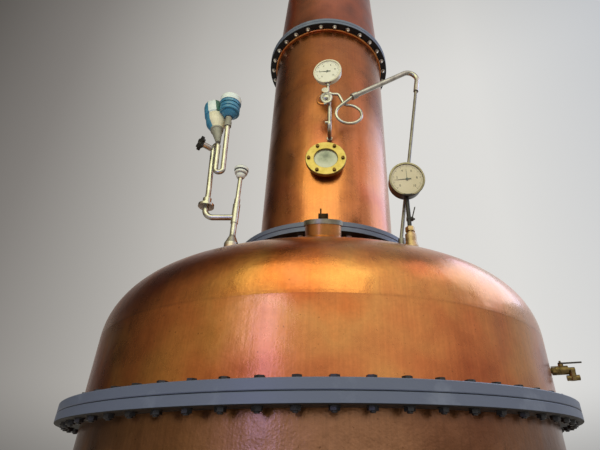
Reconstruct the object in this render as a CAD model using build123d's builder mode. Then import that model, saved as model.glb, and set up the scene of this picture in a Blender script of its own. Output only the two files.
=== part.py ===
from build123d import *
from math import acos, atan2, cos, degrees, hypot, radians, sin, sqrt, tan
import os

# Copper pot still: a round pot on four legs, a bolted dome, a tall neck, a swan neck and a lyne arm.
# Millimetres, +Z up. The origin is on the floor, on the axis of the pot. The front faces -Y.

os.makedirs("parts", exist_ok=True)

# Fits
weld_gap = 0.3
spindle_play = 0.06
gasket_thickness = 2.0
gasket_inset = 4.0
flange_edge = 2.0

# Pot
pot_radius = 924.0
pot_lower_course = 420.0
pot_wall = 6.0
pot_side_bottom = 620.0
pot_side_height = 1094.0
pot_bottom_knuckle = 140.0
pot_bottom_crown = 1700.0

# Main flange pair between the pot and the dome
main_flange_width = 76.0
main_flange_thickness = 28.0

# Dome
dome_step = 11.0
dome_wall = 6.0
dome_band_height = 228.0
dome_side_above_seam = 10.0
dome_knuckle = 264.0
dome_crown_radius = 1578.0
collar_height = 37.0
collar_flare = 26.0

# Neck
neck_radius = 350.0
neck_wall = 4.0
neck_length = 1469.0
base_flange_width = 101.0
base_flange_thickness = 23.0
top_flange_width = 47.0
top_flange_thickness = 22.0
cone_height = 1000.0
cone_top_radius = 305.0

# Swan neck and lyne arm
bend_radius = 480.0
arm_slope = 6.0
arm_start_radius = 170.0
arm_end_radius = 110.0
arm_length = 1250.0
arm_flange_radius = 170.0
arm_flange_thickness = 20.0
arm_flange_pcd = 290.0
arm_flange_hole = 9.0
arm_flange_holes = 8
bend_sections = 5

# Legs
leg_count = 4
leg_radius = 57.0
leg_over_belt = 20.0
belt_thickness = 10.0
belt_rise = 120.0
belt_height = 180.0
leg_bite = 12.0
foot_size = 220.0
foot_thickness = 16.0
foot_corner = 12.0
anchor_hole = 9.0
anchor_spacing = 150.0
leg_cap_height = 14.0

# Outlet and steam nozzles
outlet_radius = 30.0
outlet_wall = 3.0
outlet_drop = 90.0
nozzle_flange_radius = 82.0
nozzle_flange_thickness = 16.0
nozzle_pcd = 125.0
nozzle_hole = 9.0
nozzle_holes = 4
steam_nozzle_rise = 80.0
steam_nozzle_reach = 150.0
steam_nozzle_angle = 20.0

# Manway on the rear of the pot
manway_drop = 384.0
manway_radius = 230.0
manway_wall = 8.0
manway_reach = 75.0
manway_rim = 34.0
manway_rim_thickness = 16.0
manway_door_thickness = 14.0
manway_door_dish = 34.0
manway_dish_taper = 38.0
manway_handle_radius = 9.0
manway_handle_reach = 60.0
manway_handle_span = 150.0
manway_handle_bend = 20.0

# Sight glass on the front of the neck
sight_rise = 412.1
sight_boss_radius = 74.0
sight_boss_wall = 8.0
sight_boss_reach = 22.0
sight_ring_radius = 100.0
sight_ring_bore = 58.0
sight_ring_thickness = 20.0
sight_ring_edge = 2.0
sight_pane_thickness = 10.0
sight_pane_lip = 10.0

# Gauges
gauge_bezel_depth = 14.0
gauge_bezel_width = 8.0
gauge_bezel_round = 2.5
gauge_case_step = 4.0
gauge_dial_depth = 6.0
gauge_stem_radius = 9.0
gauge_stem_inset = 20.0
neck_gauge_radius = 76.0
neck_gauge_depth = 31.0
neck_gauge_turn = 12.0
neck_gauge_tilt = 8.0
neck_gauge_rise = 293.0
neck_gauge_side = 8.0
neck_gauge_stand_off = 98.0
dome_gauge_radius = 78.5
dome_gauge_depth = 63.0
dome_gauge_tilt = 12.0
dome_gauge_rise = 257.0
dome_gauge_reach = 606.5
dome_gauge_angle = 36.05

# Pipe, coil and cock of the neck gauge
siphon_radius = 7.0
siphon_pipe_radius = 10.0
siphon_bend = 26.0
siphon_coil = 30.0
siphon_coil_height = 67.0
siphon_foot_rise = 147.0
siphon_rise = 148.0
siphon_side = 17.0
siphon_pitch = 8.0
siphon_pipe_drop = 12.0
siphon_plug_radius = 8.0
siphon_plug_reach = 22.0
siphon_plug_rise = 28.0
neck_cock_drop = 75.0
neck_cock_radius = 12.0
neck_cock_reach = 18.0
neck_cock_cap_radius = 18.0
neck_cock_cap_depth = 28.0
neck_cock_cap_side = 14.0
tap_boss_radius = 14.0
tap_boss_reach = 16.0

# Balance loop and balance tube
loop_radius = 64.0
loop_side = 114.0
loop_rise = 77.0
loop_bend = 58.0
loop_link_bend = 18.0
loop_link_side = 36.0
loop_dip_side = 22.0
loop_dip_rise = 73.0
loop_tube_radius = 7.5
union_radius = 17.0
union_length = 30.0
union_rise = 105.0
balance_tube_radius = 8.0
balance_sleeve_radius = 13.0
balance_shoulder_side = 504.0
balance_shoulder_rise = 378.0
balance_foot_side = 329.0
balance_foot_rise = 72.0
balance_stand_off = 82.0
balance_boss_radius = 15.0
balance_boss_height = 62.0
balance_bend = 44.0
balance_foot_bend = 12.0
balance_sleeve_drop = 190.0

# Relief nozzle in front of the neck, square to the crown
relief_reach = 580.0
relief_radius = 70.0
relief_wall = 4.0
relief_height = 49.0
relief_weld = 8.0
relief_lid_radius = 75.0
relief_lid_thickness = 18.0
relief_block = 38.0
relief_block_corner = 4.0
relief_block_height = 29.0
relief_spindle_radius = 3.0
relief_spindle_shift = 10.0
relief_spindle_height = 22.0

# Brass cock under the dome gauge
cock_body_radius = 23.0
cock_body_foot_radius = 29.0
cock_body_height = 77.0
cock_foot_height = 20.0
cock_foot_taper = 24.0
cock_neck_radius = 15.0
cock_neck_height = 13.0
cock_hex_width = 35.0
cock_hex_height = 20.0
cock_plug_rise = 42.0
cock_plug_radius = 10.0
cock_plug_shoulder = 2.0
lever_spindle_radius = 4.0
lever_spindle_reach = 23.0
lever_hub_radius = 9.0
lever_thickness = 5.0
lever_length = 58.0
lever_width = 9.0
lever_gap = 1.0
lever_crank = 14.0
lever_crank_start = 10.0

# Instrument tree on the left of the dome
tree_x = -397.0
tree_y = -409.0
tree_pipe_radius = 13.0
tree_boss_radius = 30.0
tree_boss_height = 60.0
tree_boss_taper = 40.0
tree_tee_rise = 191.3
tree_tee_radius = 16.0
tree_tee_below = 30.0
tree_tee_above = 66.0
tree_nipple_length = 30.0
tree_arm_reach = 136.0
tree_arm_bend = 40.0
tree_arm_rise = 55.0
tree_union_radius = 35.0
tree_union_thickness = 11.0
tree_nut_radius = 19.0
tree_nut_height = 32.0
tree_riser_length = 302.0
tree_riser_start = 30.0
tree_riser_lean = 16.0
tree_siphon_radius = 12.0
tree_fold_side = 29.0
tree_fold_front = 24.0
tree_siphon_drop = 169.0
tree_left_lean = 8.0
tree_siphon_gap = 35.0
tree_right_lean = 12.0
tree_siphon_bend = 16.5
tree_siphon_length = 280.0
probe_stem_radius = 10.0
probe_stem_rise = 201.0
probe_cup_foot = 14.0
probe_cup_radius = 17.0
probe_cup_height = 39.0
probe_collar_radius = 25.0
probe_collar_height = 31.0
probe_groove_height = 6.0
probe_head_radius = 32.0
probe_head_height = 27.0
probe_lid_radius = 28.0
probe_lid_height = 15.0

# Transmitters on the instrument tree
transmitter_nut_radius = 17.0
transmitter_nut_height = 50.0
transmitter_foot_radius = 27.0
transmitter_foot_height = 26.0
transmitter_body_radius = 35.0
transmitter_body_height = 68.0
transmitter_ring_radius = 44.0
transmitter_ring_height = 20.0
transmitter_groove_depth = 4.0
transmitter_groove_height = 7.0
transmitter_cap_radius = 54.0
transmitter_cap_height = 50.0
transmitter_cap_round = 12.0
level_lean_side = 14.0
level_lean_back = 10.0
level_cone_radius = 27.0
level_cone_length = 100.0
level_collar_radius = 31.0
level_collar_height = 12.0
level_taper_height = 50.0
level_body_radius = 40.0
level_body_height = 60.0
level_cap_radius = 44.0
level_cap_height = 98.0
level_cap_round = 24.0

# Needle valve with its handwheel
needle_valve_radius = 14.0
needle_valve_length = 48.0
needle_valve_drop = 17.0
handwheel_radius = 36.0
handwheel_thickness = 12.0
handwheel_lobes = 6
handwheel_lobe_radius = 9.0
handwheel_spindle_tip = 6.0
handwheel_turn = 45.0

# Sampling valve low on the right of the dome
side_valve_angle = 73.0
side_valve_rise = 141.0
side_nipple_radius = 10.0
side_nipple_length = 16.0
side_hex_width = 30.0
side_hex_length = 14.0
side_body_radius = 17.0
side_body_length = 46.0
side_tail_length = 24.0
side_bonnet_rise = 6.0
side_spindle_height = 30.0
side_lever_length = 74.0
side_tee_drop = 40.0
side_tee_radius = 13.0
side_branch_drop = 30.0
side_branch_radius = 10.5
side_branch_length = 46.0

# Radii worked out from the sizes above
main_flange_radius = pot_radius + main_flange_width
dome_radius = pot_radius + dome_step
base_flange_radius = neck_radius + base_flange_width
top_flange_radius = neck_radius + top_flange_width

# Heights worked out from the sizes above
belt_bottom = pot_side_bottom + belt_rise
leg_top = belt_bottom + belt_height + leg_over_belt
course_seam = pot_side_bottom + pot_lower_course
steam_nozzle_height = pot_side_bottom + steam_nozzle_rise
main_flange_bottom = pot_side_bottom + pot_side_height
manway_height = main_flange_bottom - manway_drop
pot_rim = main_flange_bottom + main_flange_thickness
dome_rim = pot_rim + gasket_thickness
main_flange_top = dome_rim + main_flange_thickness
side_valve_height = main_flange_top + side_valve_rise
dome_seam = main_flange_top + dome_band_height
dome_knuckle_start = dome_seam + dome_side_above_seam
crown_centre = dome_knuckle_start - sqrt(
    (dome_crown_radius - dome_knuckle) ** 2 - (dome_radius - dome_knuckle) ** 2
)


def dome_height(reach):
    """Height of the outside of the crown at a distance from the axis."""
    return crown_centre + sqrt(dome_crown_radius**2 - reach**2)


base_flange_bottom = dome_height(neck_radius) + collar_height
collar_rim = base_flange_bottom + base_flange_thickness
neck_bottom = collar_rim + gasket_thickness
neck_top = neck_bottom + neck_length
top_flange_bottom = neck_top - top_flange_thickness
cone_bottom = neck_top + gasket_thickness
cone_top = cone_bottom + cone_height
sight_height = neck_bottom + sight_rise
siphon_foot_height = sight_height + siphon_foot_rise
loop_height = siphon_foot_height + loop_rise
neck_gauge_foot = siphon_foot_height + neck_gauge_rise
dome_cock_foot = dome_height(dome_gauge_reach)
dome_gauge_foot = dome_cock_foot + dome_gauge_rise
relief_foot = dome_height(relief_reach)
tree_foot = dome_height(hypot(tree_x, tree_y))
tree_tee_height = tree_foot + tree_tee_rise
tree_arm_top = tree_tee_height + tree_arm_rise
tree_siphon_foot = tree_arm_top + tree_union_thickness + tree_nut_height + weld_gap
tree_riser_top = tree_siphon_foot + tree_riser_length
tree_siphon_bottom = tree_riser_top - tree_siphon_drop
tree_siphon_top = tree_siphon_bottom + tree_siphon_length
probe_stem_top = tree_tee_height + probe_stem_rise


def polar(reach, angle, height):
    """Point at a distance from the axis, with the angle counted from the front towards the right."""
    return Vector(reach * sin(radians(angle)), -reach * cos(radians(angle)), height)


def rod_along(points, bend, radius):
    """Round rod that follows straight runs joined by arcs."""
    with BuildPart() as rod:
        with BuildLine() as route:
            FilletPolyline(*points, radius=bend)
        with BuildSketch(Plane(origin=route.line @ 0, z_dir=route.line % 0)):
            Circle(radius)
        sweep()
    return rod.part


def turned_rod(plane, steps):
    """Stepped round bar along the plane's normal, from pairs of radius and length."""
    with BuildPart() as bar:
        start = 0
        for radius, length in steps:
            with BuildSketch(plane.offset(start)):
                Circle(radius)
            extrude(amount=length)
            start += length
    return bar.part


def lathe(plane, steps):
    """Solid turned about the plane's normal, from triples of start radius, end radius and length."""
    profile = [(0, 0)]
    height = 0
    for start_radius, end_radius, length in steps:
        for point in ((start_radius, height), (end_radius, height + length)):
            if point != profile[-1]:
                profile.append(point)
        height += length
    with BuildPart() as turned:
        with BuildSketch(Plane(origin=plane.origin, x_dir=plane.x_dir, z_dir=plane.x_dir.cross(plane.z_dir))):
            with BuildLine():
                Polyline(*profile, (0, height), close=True)
            make_face()
        revolve(axis=Axis(plane.origin, plane.z_dir))
    return turned.part


def crown_body(radius):
    """Solid cap under an arc about the crown's centre, which trims what stands on the crown."""
    rim_angle = degrees(acos(dome_radius / dome_crown_radius))
    with BuildPart() as cap:
        with BuildSketch(Plane.XZ):
            with BuildLine():
                arc = CenterArc((0, crown_centre), radius, rim_angle, 90 - rim_angle)
                Polyline(arc @ 1, (0, dome_seam), (arc.start_point().X, dome_seam), arc @ 0)
            make_face()
        revolve(axis=Axis.Z)
    return cap.part


def finish(piece, name):
    """Label one piece and write its file."""
    piece.part.label = name
    export_step(piece.part, f"parts/{name}.step")


# Dished bottom of the pot, with the hole for the outlet
with BuildPart() as pot_bottom:
    bottom_centre = pot_side_bottom + sqrt(
        (pot_bottom_crown - pot_bottom_knuckle) ** 2 - (pot_radius - pot_bottom_knuckle) ** 2
    )
    knuckle_sweep = degrees(atan2(bottom_centre - pot_side_bottom, pot_radius - pot_bottom_knuckle))
    with BuildSketch(Plane.XZ):
        with BuildLine():
            knuckle = CenterArc(
                (pot_radius - pot_bottom_knuckle, pot_side_bottom),
                pot_bottom_knuckle,
                0,
                -knuckle_sweep,
            )
            crown = CenterArc((0, bottom_centre), pot_bottom_crown, -knuckle_sweep, knuckle_sweep - 90)
            Line(crown @ 1, (0, pot_side_bottom))
            Line((0, pot_side_bottom), knuckle @ 0)
        make_face()
    revolve(axis=Axis.Z)
    offset(amount=-pot_wall, openings=pot_bottom.faces().sort_by(Axis.Z)[-1])
    with BuildSketch(Plane.XY):
        Circle(outlet_radius + weld_gap)
    extrude(amount=pot_side_bottom, mode=Mode.SUBTRACT)
finish(pot_bottom, "pot_bottom")
bottom_low_point = bottom_centre - pot_bottom_crown

# Planes of the manway and of the steam nozzles
manway_axis = Plane(origin=(0, 0, manway_height), x_dir=(-1, 0, 0), z_dir=(0, 1, 0))


def steam_plane(side):
    """Plane across one steam nozzle, facing out of the pot."""
    outward = polar(1, 180 + side * steam_nozzle_angle, 0)
    return Plane(origin=(0, 0, steam_nozzle_height), x_dir=(outward.Y, -outward.X, 0), z_dir=outward)


# Lower course of the pot's side, cut through for the steam nozzles
with BuildPart() as pot_shell_lower:
    with BuildSketch(Plane.XY.offset(pot_side_bottom)):
        Circle(pot_radius)
        Circle(pot_radius - pot_wall, mode=Mode.SUBTRACT)
    extrude(amount=pot_lower_course)
    for side in (-1, 1):
        with BuildSketch(steam_plane(side)):
            Circle(outlet_radius + weld_gap)
        extrude(amount=pot_radius * 2, mode=Mode.SUBTRACT)
finish(pot_shell_lower, "pot_shell_lower")

# Upper course, cut through for the manway
with BuildPart() as pot_shell:
    with BuildSketch(Plane.XY.offset(course_seam)):
        Circle(pot_radius)
        Circle(pot_radius - pot_wall, mode=Mode.SUBTRACT)
    extrude(amount=pot_rim - course_seam)
    with BuildSketch(manway_axis):
        Circle(manway_radius + weld_gap)
    extrude(amount=pot_radius * 2, mode=Mode.SUBTRACT)
finish(pot_shell, "pot_shell")

# Belt welded round the pot, which carries the legs
with BuildPart() as support_belt:
    with BuildSketch(Plane.XY.offset(belt_bottom)):
        Circle(pot_radius + weld_gap + belt_thickness)
        Circle(pot_radius + weld_gap, mode=Mode.SUBTRACT)
    extrude(amount=belt_height)
finish(support_belt, "support_belt")

# Four round legs, each notched round the belt, with a square foot plate
leg_reach = pot_radius + 2 * weld_gap + belt_thickness + leg_radius - leg_bite
leg_names = ("leg_front_right", "leg_rear_right", "leg_rear_left", "leg_front_left")
for index, leg_name in enumerate(leg_names):
    leg_angle = 45 + index * 360 / leg_count
    leg_base = polar(leg_reach, leg_angle, 0)
    with BuildPart() as leg:
        with BuildSketch(Plane(origin=leg_base)):
            RectangleRounded(foot_size, foot_size, foot_corner)
            with GridLocations(anchor_spacing, anchor_spacing, 2, 2):
                Circle(anchor_hole, mode=Mode.SUBTRACT)
        extrude(amount=foot_thickness)
        with BuildSketch(Plane(origin=leg_base).offset(foot_thickness)):
            Circle(leg_radius)
        extrude(amount=leg_top - foot_thickness)
        fillet(leg.faces().sort_by(Axis.Z)[-1].edges(), leg_cap_height)
        with BuildSketch(Plane.XY.offset(belt_bottom)):
            Circle(pot_radius + 2 * weld_gap + belt_thickness)
        extrude(amount=leg_top, mode=Mode.SUBTRACT)
        with BuildSketch(Plane.XY.offset(foot_thickness)):
            Circle(pot_radius + weld_gap)
        extrude(amount=belt_bottom - foot_thickness, mode=Mode.SUBTRACT)
    finish(leg, leg_name)

# Outlet under the pot, with a drilled flange
outlet_flange_face = bottom_low_point - outlet_drop
with BuildPart() as outlet_nozzle:
    with BuildSketch(Plane.XY.offset(outlet_flange_face)):
        Circle(outlet_radius)
    extrude(amount=outlet_drop + pot_wall)
    with BuildSketch(Plane.XY.offset(outlet_flange_face)):
        Circle(nozzle_flange_radius)
        with PolarLocations(nozzle_pcd / 2, nozzle_holes, start_angle=45):
            Circle(nozzle_hole, mode=Mode.SUBTRACT)
    extrude(amount=nozzle_flange_thickness)
    with BuildSketch(Plane.XY.offset(outlet_flange_face)):
        Circle(outlet_radius - outlet_wall)
    extrude(amount=outlet_drop + pot_wall, mode=Mode.SUBTRACT)
finish(outlet_nozzle, "outlet_nozzle")

# Steam inlet and condensate outlet, low on the rear of the pot
with BuildPart() as steam_nozzles:
    for side in (-1, 1):
        nozzle_inner = pot_radius - pot_wall
        with BuildSketch(steam_plane(side).offset(nozzle_inner)):
            Circle(outlet_radius)
        extrude(amount=pot_wall + steam_nozzle_reach)
        with BuildSketch(steam_plane(side).offset(pot_radius + steam_nozzle_reach)):
            Circle(nozzle_flange_radius)
            with PolarLocations(nozzle_pcd / 2, nozzle_holes, start_angle=45):
                Circle(nozzle_hole, mode=Mode.SUBTRACT)
        extrude(amount=-nozzle_flange_thickness)
        with BuildSketch(steam_plane(side).offset(nozzle_inner)):
            Circle(outlet_radius - outlet_wall)
        extrude(amount=pot_wall + steam_nozzle_reach, mode=Mode.SUBTRACT)
finish(steam_nozzles, "steam_nozzles")

# Manway frame: a short neck through the wall with a flat rim
manway_face = pot_radius + manway_reach
manway_root = sqrt(pot_radius**2 - manway_radius**2) - pot_wall
with BuildPart() as manway_frame:
    with BuildSketch(manway_axis.offset(manway_root)):
        Circle(manway_radius)
        Circle(manway_radius - manway_wall, mode=Mode.SUBTRACT)
    extrude(amount=manway_face - manway_root)
    with BuildSketch(Plane.XY.offset(pot_side_bottom)):
        Circle(pot_radius - pot_wall)
    extrude(amount=pot_side_height, mode=Mode.SUBTRACT)
    with BuildSketch(manway_axis.offset(manway_face)):
        Circle(manway_radius + manway_rim)
        Circle(manway_radius - manway_wall, mode=Mode.SUBTRACT)
    extrude(amount=-manway_rim_thickness)
finish(manway_frame, "manway_frame")

# Manway door: a dished lid with a bent handle
with BuildPart() as manway_door:
    door_inner = manway_face + weld_gap
    with BuildSketch(manway_axis.offset(door_inner)):
        Circle(manway_radius + manway_rim)
    extrude(amount=manway_door_thickness)
    with BuildSketch(manway_axis.offset(door_inner + manway_door_thickness)):
        Circle(manway_radius - manway_wall)
    extrude(amount=manway_door_dish, taper=manway_dish_taper)
    handle_root = door_inner + manway_door_thickness + manway_door_dish
    with BuildLine() as handle_route:
        FilletPolyline(
            (-manway_handle_span / 2, handle_root, manway_height),
            (-manway_handle_span / 2, handle_root + manway_handle_reach, manway_height),
            (manway_handle_span / 2, handle_root + manway_handle_reach, manway_height),
            (manway_handle_span / 2, handle_root, manway_height),
            radius=manway_handle_bend,
        )
    with BuildSketch(Plane(origin=handle_route.line @ 0, z_dir=handle_route.line % 0)):
        Circle(manway_handle_radius)
    sweep(path=handle_route.line)
finish(manway_door, "manway_door")

# Flange pairs: pot to dome, dome to neck, and neck to cone
flange_rings = (
    ("main_flange_lower", main_flange_radius, pot_radius, main_flange_bottom, main_flange_thickness),
    ("main_flange_upper", main_flange_radius, dome_radius, dome_rim, main_flange_thickness),
    ("base_flange_lower", base_flange_radius, neck_radius, base_flange_bottom, base_flange_thickness),
    ("base_flange_upper", base_flange_radius, neck_radius, neck_bottom, base_flange_thickness),
    ("top_flange_lower", top_flange_radius, neck_radius, top_flange_bottom, top_flange_thickness),
    ("top_flange_upper", top_flange_radius, neck_radius, cone_bottom, top_flange_thickness),
)
for flange_name, flange_outer, pipe_radius, flange_bottom, flange_thickness in flange_rings:
    with BuildPart() as flange:
        with BuildSketch(Plane.XY.offset(flange_bottom)):
            Circle(flange_outer)
            Circle(pipe_radius + weld_gap, mode=Mode.SUBTRACT)
        extrude(amount=flange_thickness)
        rim_edges = flange.edges().filter_by(GeomType.CIRCLE).sort_by(lambda edge: edge.radius)[-2:]
        chamfer(rim_edges, flange_edge)
    finish(flange, flange_name)

# Gaskets in the three flange joints, set a little inside the rims
gaskets = (
    (main_flange_radius, dome_radius - dome_wall, pot_rim),
    (base_flange_radius, neck_radius - neck_wall, collar_rim),
    (top_flange_radius, neck_radius - neck_wall, neck_top),
)
with BuildPart() as flange_gaskets:
    for outer, inner, bottom in gaskets:
        with BuildSketch(Plane.XY.offset(bottom)):
            Circle(outer - gasket_inset)
            Circle(inner, mode=Mode.SUBTRACT)
        extrude(amount=gasket_thickness)
finish(flange_gaskets, "flange_gaskets")

# Straight band of the dome
with BuildPart() as dome_band:
    with BuildSketch(Plane.XY.offset(dome_rim)):
        Circle(dome_radius)
        Circle(dome_radius - dome_wall, mode=Mode.SUBTRACT)
    extrude(amount=dome_seam - dome_rim)
finish(dome_band, "dome_band")

# Plane square to the crown at the foot of the relief nozzle
relief_point = Vector(0, -relief_reach, relief_foot)
relief_normal = (relief_point - Vector(0, 0, crown_centre)).normalized()
relief_plane = Plane(origin=relief_point, x_dir=(1, 0, 0), z_dir=relief_normal)

# Crown of the dome: a tight knuckle, a shallow crown and a flared collar for the neck
with BuildPart() as dome_crown:
    crown_join = degrees(atan2(dome_knuckle_start - crown_centre, dome_radius - dome_knuckle))
    crown_end = degrees(acos(neck_radius / dome_crown_radius))
    with BuildSketch(Plane.XZ):
        with BuildLine():
            side_line = Line((dome_radius, dome_seam), (dome_radius, dome_knuckle_start))
            shoulder = CenterArc(
                (dome_radius - dome_knuckle, dome_knuckle_start), dome_knuckle, 0, crown_join
            )
            top_arc = CenterArc((0, crown_centre), dome_crown_radius, crown_join, crown_end - crown_join)
            collar_line = Line(top_arc @ 1, (neck_radius, collar_rim))
            Line(collar_line @ 1, (0, collar_rim))
            Line((0, collar_rim), (0, dome_seam))
            Line((0, dome_seam), side_line @ 0)
        make_face()
    revolve(axis=Axis.Z)
    ring_edges = dome_crown.edges().filter_by(GeomType.CIRCLE)
    collar_root = ring_edges.sort_by(lambda edge: abs(edge.center().Z - dome_height(neck_radius)))[0]
    fillet(collar_root, collar_flare)
    crown_openings = [dome_crown.faces().sort_by(Axis.Z)[0], dome_crown.faces().sort_by(Axis.Z)[-1]]
    offset(amount=-dome_wall, openings=crown_openings)
    with BuildSketch(relief_plane):
        Circle(relief_radius + weld_gap)
    extrude(amount=relief_radius, both=True, mode=Mode.SUBTRACT)
finish(dome_crown, "dome_crown")

# Neck, cut through at the front for the sight glass
sight_plane = Plane(origin=(0, 0, sight_height), x_dir=(1, 0, 0), z_dir=(0, -1, 0))
with BuildPart() as neck:
    with BuildSketch(Plane.XY.offset(neck_bottom)):
        Circle(neck_radius)
        Circle(neck_radius - neck_wall, mode=Mode.SUBTRACT)
    extrude(amount=neck_length)
    with BuildSketch(sight_plane):
        Circle(sight_boss_radius + weld_gap)
    extrude(amount=neck_radius * 2, mode=Mode.SUBTRACT)
finish(neck, "neck")

# Upper neck: a short straight collar inside the flange, then a long cone
with BuildPart() as neck_cone:
    with BuildSketch(Plane.XZ):
        with BuildLine():
            Polyline(
                (neck_radius - neck_wall, cone_bottom),
                (neck_radius, cone_bottom),
                (neck_radius, cone_bottom + top_flange_thickness),
                (cone_top_radius, cone_top),
                (cone_top_radius - neck_wall, cone_top),
                (neck_radius - neck_wall, cone_bottom + top_flange_thickness),
                close=True,
            )
        make_face()
    revolve(axis=Axis.Z)
finish(neck_cone, "neck_cone")

# Swan neck: a bend that narrows from the cone to the lyne arm
bend_angle = 90 + arm_slope


def bend_plane(share):
    """Plane across the bend at a share of its turn."""
    turn = radians(bend_angle * share)
    centre = Vector(-bend_radius * (1 - cos(turn)), 0, cone_top + bend_radius * sin(turn))
    return Plane(origin=centre, x_dir=(0, 1, 0), z_dir=(-sin(turn), 0, cos(turn)))


with BuildPart() as swan_neck:
    for wall, fusion in ((0, Mode.ADD), (neck_wall, Mode.SUBTRACT)):
        for step in range(bend_sections):
            share = step / (bend_sections - 1)
            section_radius = cone_top_radius + (arm_start_radius - cone_top_radius) * share
            with BuildSketch(bend_plane(share)):
                Circle(section_radius - wall)
        loft(mode=fusion)
finish(swan_neck, "swan_neck")

# Lyne arm: a tapered pipe that slopes down to the condenser side
arm_plane = bend_plane(1)
with BuildPart() as lyne_arm:
    with BuildSketch(arm_plane):
        Circle(arm_start_radius)
    with BuildSketch(arm_plane.offset(arm_length)):
        Circle(arm_end_radius)
    loft()
    with BuildSketch(arm_plane):
        Circle(arm_start_radius - neck_wall)
    with BuildSketch(arm_plane.offset(arm_length)):
        Circle(arm_end_radius - neck_wall)
    loft(mode=Mode.SUBTRACT)
finish(lyne_arm, "lyne_arm")

# End flange of the lyne arm, drilled for its bolts
with BuildPart() as lyne_arm_flange:
    with BuildSketch(arm_plane.offset(arm_length)):
        Circle(arm_flange_radius)
        Circle(arm_end_radius - neck_wall, mode=Mode.SUBTRACT)
        with PolarLocations(arm_flange_pcd / 2, arm_flange_holes):
            Circle(arm_flange_hole, mode=Mode.SUBTRACT)
    extrude(amount=arm_flange_thickness)
finish(lyne_arm_flange, "lyne_arm_flange")

# Sight glass: a boss through the neck wall, a glass pane and a clamping ring
sight_seat = neck_radius + sight_boss_reach
sight_root = sqrt(neck_radius**2 - sight_boss_radius**2) - neck_wall
with BuildPart() as sight_boss:
    with BuildSketch(sight_plane.offset(sight_root)):
        Circle(sight_boss_radius)
        Circle(sight_boss_radius - sight_boss_wall, mode=Mode.SUBTRACT)
    extrude(amount=sight_seat - sight_root)
    with BuildSketch(Plane.XY.offset(neck_bottom)):
        Circle(neck_radius - neck_wall)
    extrude(amount=neck_length, mode=Mode.SUBTRACT)
finish(sight_boss, "sight_boss")

with BuildPart() as sight_ring:
    with BuildSketch(sight_plane.offset(sight_seat)):
        Circle(sight_ring_radius)
        Circle(sight_ring_bore, mode=Mode.SUBTRACT)
    extrude(amount=sight_ring_thickness)
    with BuildSketch(sight_plane.offset(sight_seat)):
        Circle(sight_ring_bore + sight_pane_lip + weld_gap)
    extrude(amount=sight_pane_thickness, mode=Mode.SUBTRACT)
    front_edges = sight_ring.faces().sort_by(Axis.Y)[0].edges()
    chamfer(front_edges, sight_ring_edge)
finish(sight_ring, "sight_ring")

with BuildPart() as sight_pane:
    with BuildSketch(sight_plane.offset(sight_seat)):
        Circle(sight_ring_bore + sight_pane_lip)
    extrude(amount=sight_pane_thickness - weld_gap)
finish(sight_pane, "sight_pane")


def gauge_case(plane, radius, depth):
    """Round dial case with a bezel and a recessed dial, behind the plane of its front."""
    with BuildPart() as case:
        with BuildSketch(plane):
            Circle(radius)
        extrude(amount=-gauge_bezel_depth)
        with BuildSketch(plane.offset(-gauge_bezel_depth)):
            Circle(radius - gauge_case_step)
        extrude(amount=gauge_bezel_depth - depth)
        with BuildSketch(plane):
            Circle(radius - gauge_bezel_width)
        extrude(amount=-gauge_dial_depth, mode=Mode.SUBTRACT)
        rim_edges = case.edges().filter_by(GeomType.CIRCLE).sort_by(lambda edge: edge.radius)[-2:]
        fillet(rim_edges, gauge_bezel_round)
    return case.part


def gauge_front(stem_top, turn, tilt, radius, depth):
    """Front plane of a dial, turned to the left and tilted down, whose rim stands on its stem."""
    outward = polar(cos(radians(tilt)), -turn, -sin(radians(tilt)))
    facing = Plane(origin=stem_top, x_dir=polar(1, 90 - turn, 0), z_dir=outward)
    centre = stem_top + facing.y_dir * radius + facing.z_dir * depth / 2
    return Plane(origin=centre, x_dir=facing.x_dir, z_dir=facing.z_dir)


# Neck gauge
neck_gauge_y = -(neck_radius + neck_gauge_stand_off)
neck_stem_top = Vector(neck_gauge_side, neck_gauge_y - siphon_pitch, neck_gauge_foot)
neck_gauge_plane = gauge_front(
    neck_stem_top, neck_gauge_turn, neck_gauge_tilt, neck_gauge_radius, neck_gauge_depth
)
siphon_end = neck_stem_top - Vector(0, 0, gauge_stem_inset)
neck_gauge_case = gauge_case(neck_gauge_plane, neck_gauge_radius, neck_gauge_depth)
neck_gauge_stem = turned_rod(Plane(origin=siphon_end), ((gauge_stem_radius, 2 * gauge_stem_inset),))
with BuildPart() as neck_gauge:
    add(neck_gauge_case)
    add(neck_gauge_stem)
finish(neck_gauge, "neck_gauge")

# Siphon that carries the neck gauge: a boss on the neck, a pipe with a plug, a coil and a cock
coil_left = siphon_side - 2 * siphon_coil
coil_bottom = siphon_foot_height + siphon_rise
coil_top = coil_bottom + siphon_coil_height
pipe_top = coil_bottom - siphon_pipe_drop
pipe_share = (pipe_top - siphon_foot_height) / (coil_top - siphon_foot_height)
siphon_pipe = rod_along(
    (
        Vector(siphon_side, -neck_radius - weld_gap, siphon_foot_height),
        Vector(siphon_side, neck_gauge_y, siphon_foot_height),
        Vector(siphon_side, neck_gauge_y + siphon_pitch * pipe_share, pipe_top),
    ),
    siphon_bend,
    siphon_pipe_radius,
)
siphon_run = rod_along(
    (
        Vector(siphon_side, -neck_radius - weld_gap, siphon_foot_height),
        Vector(siphon_side, neck_gauge_y, siphon_foot_height),
        Vector(siphon_side, neck_gauge_y + siphon_pitch, coil_top),
        Vector(coil_left, neck_gauge_y + siphon_pitch / 2, coil_top),
        Vector(coil_left, neck_gauge_y - siphon_pitch / 2, coil_bottom),
        Vector(neck_gauge_side, neck_gauge_y - siphon_pitch, coil_bottom),
        siphon_end - Vector(0, 0, weld_gap),
    ),
    siphon_bend,
    siphon_radius,
)
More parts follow.
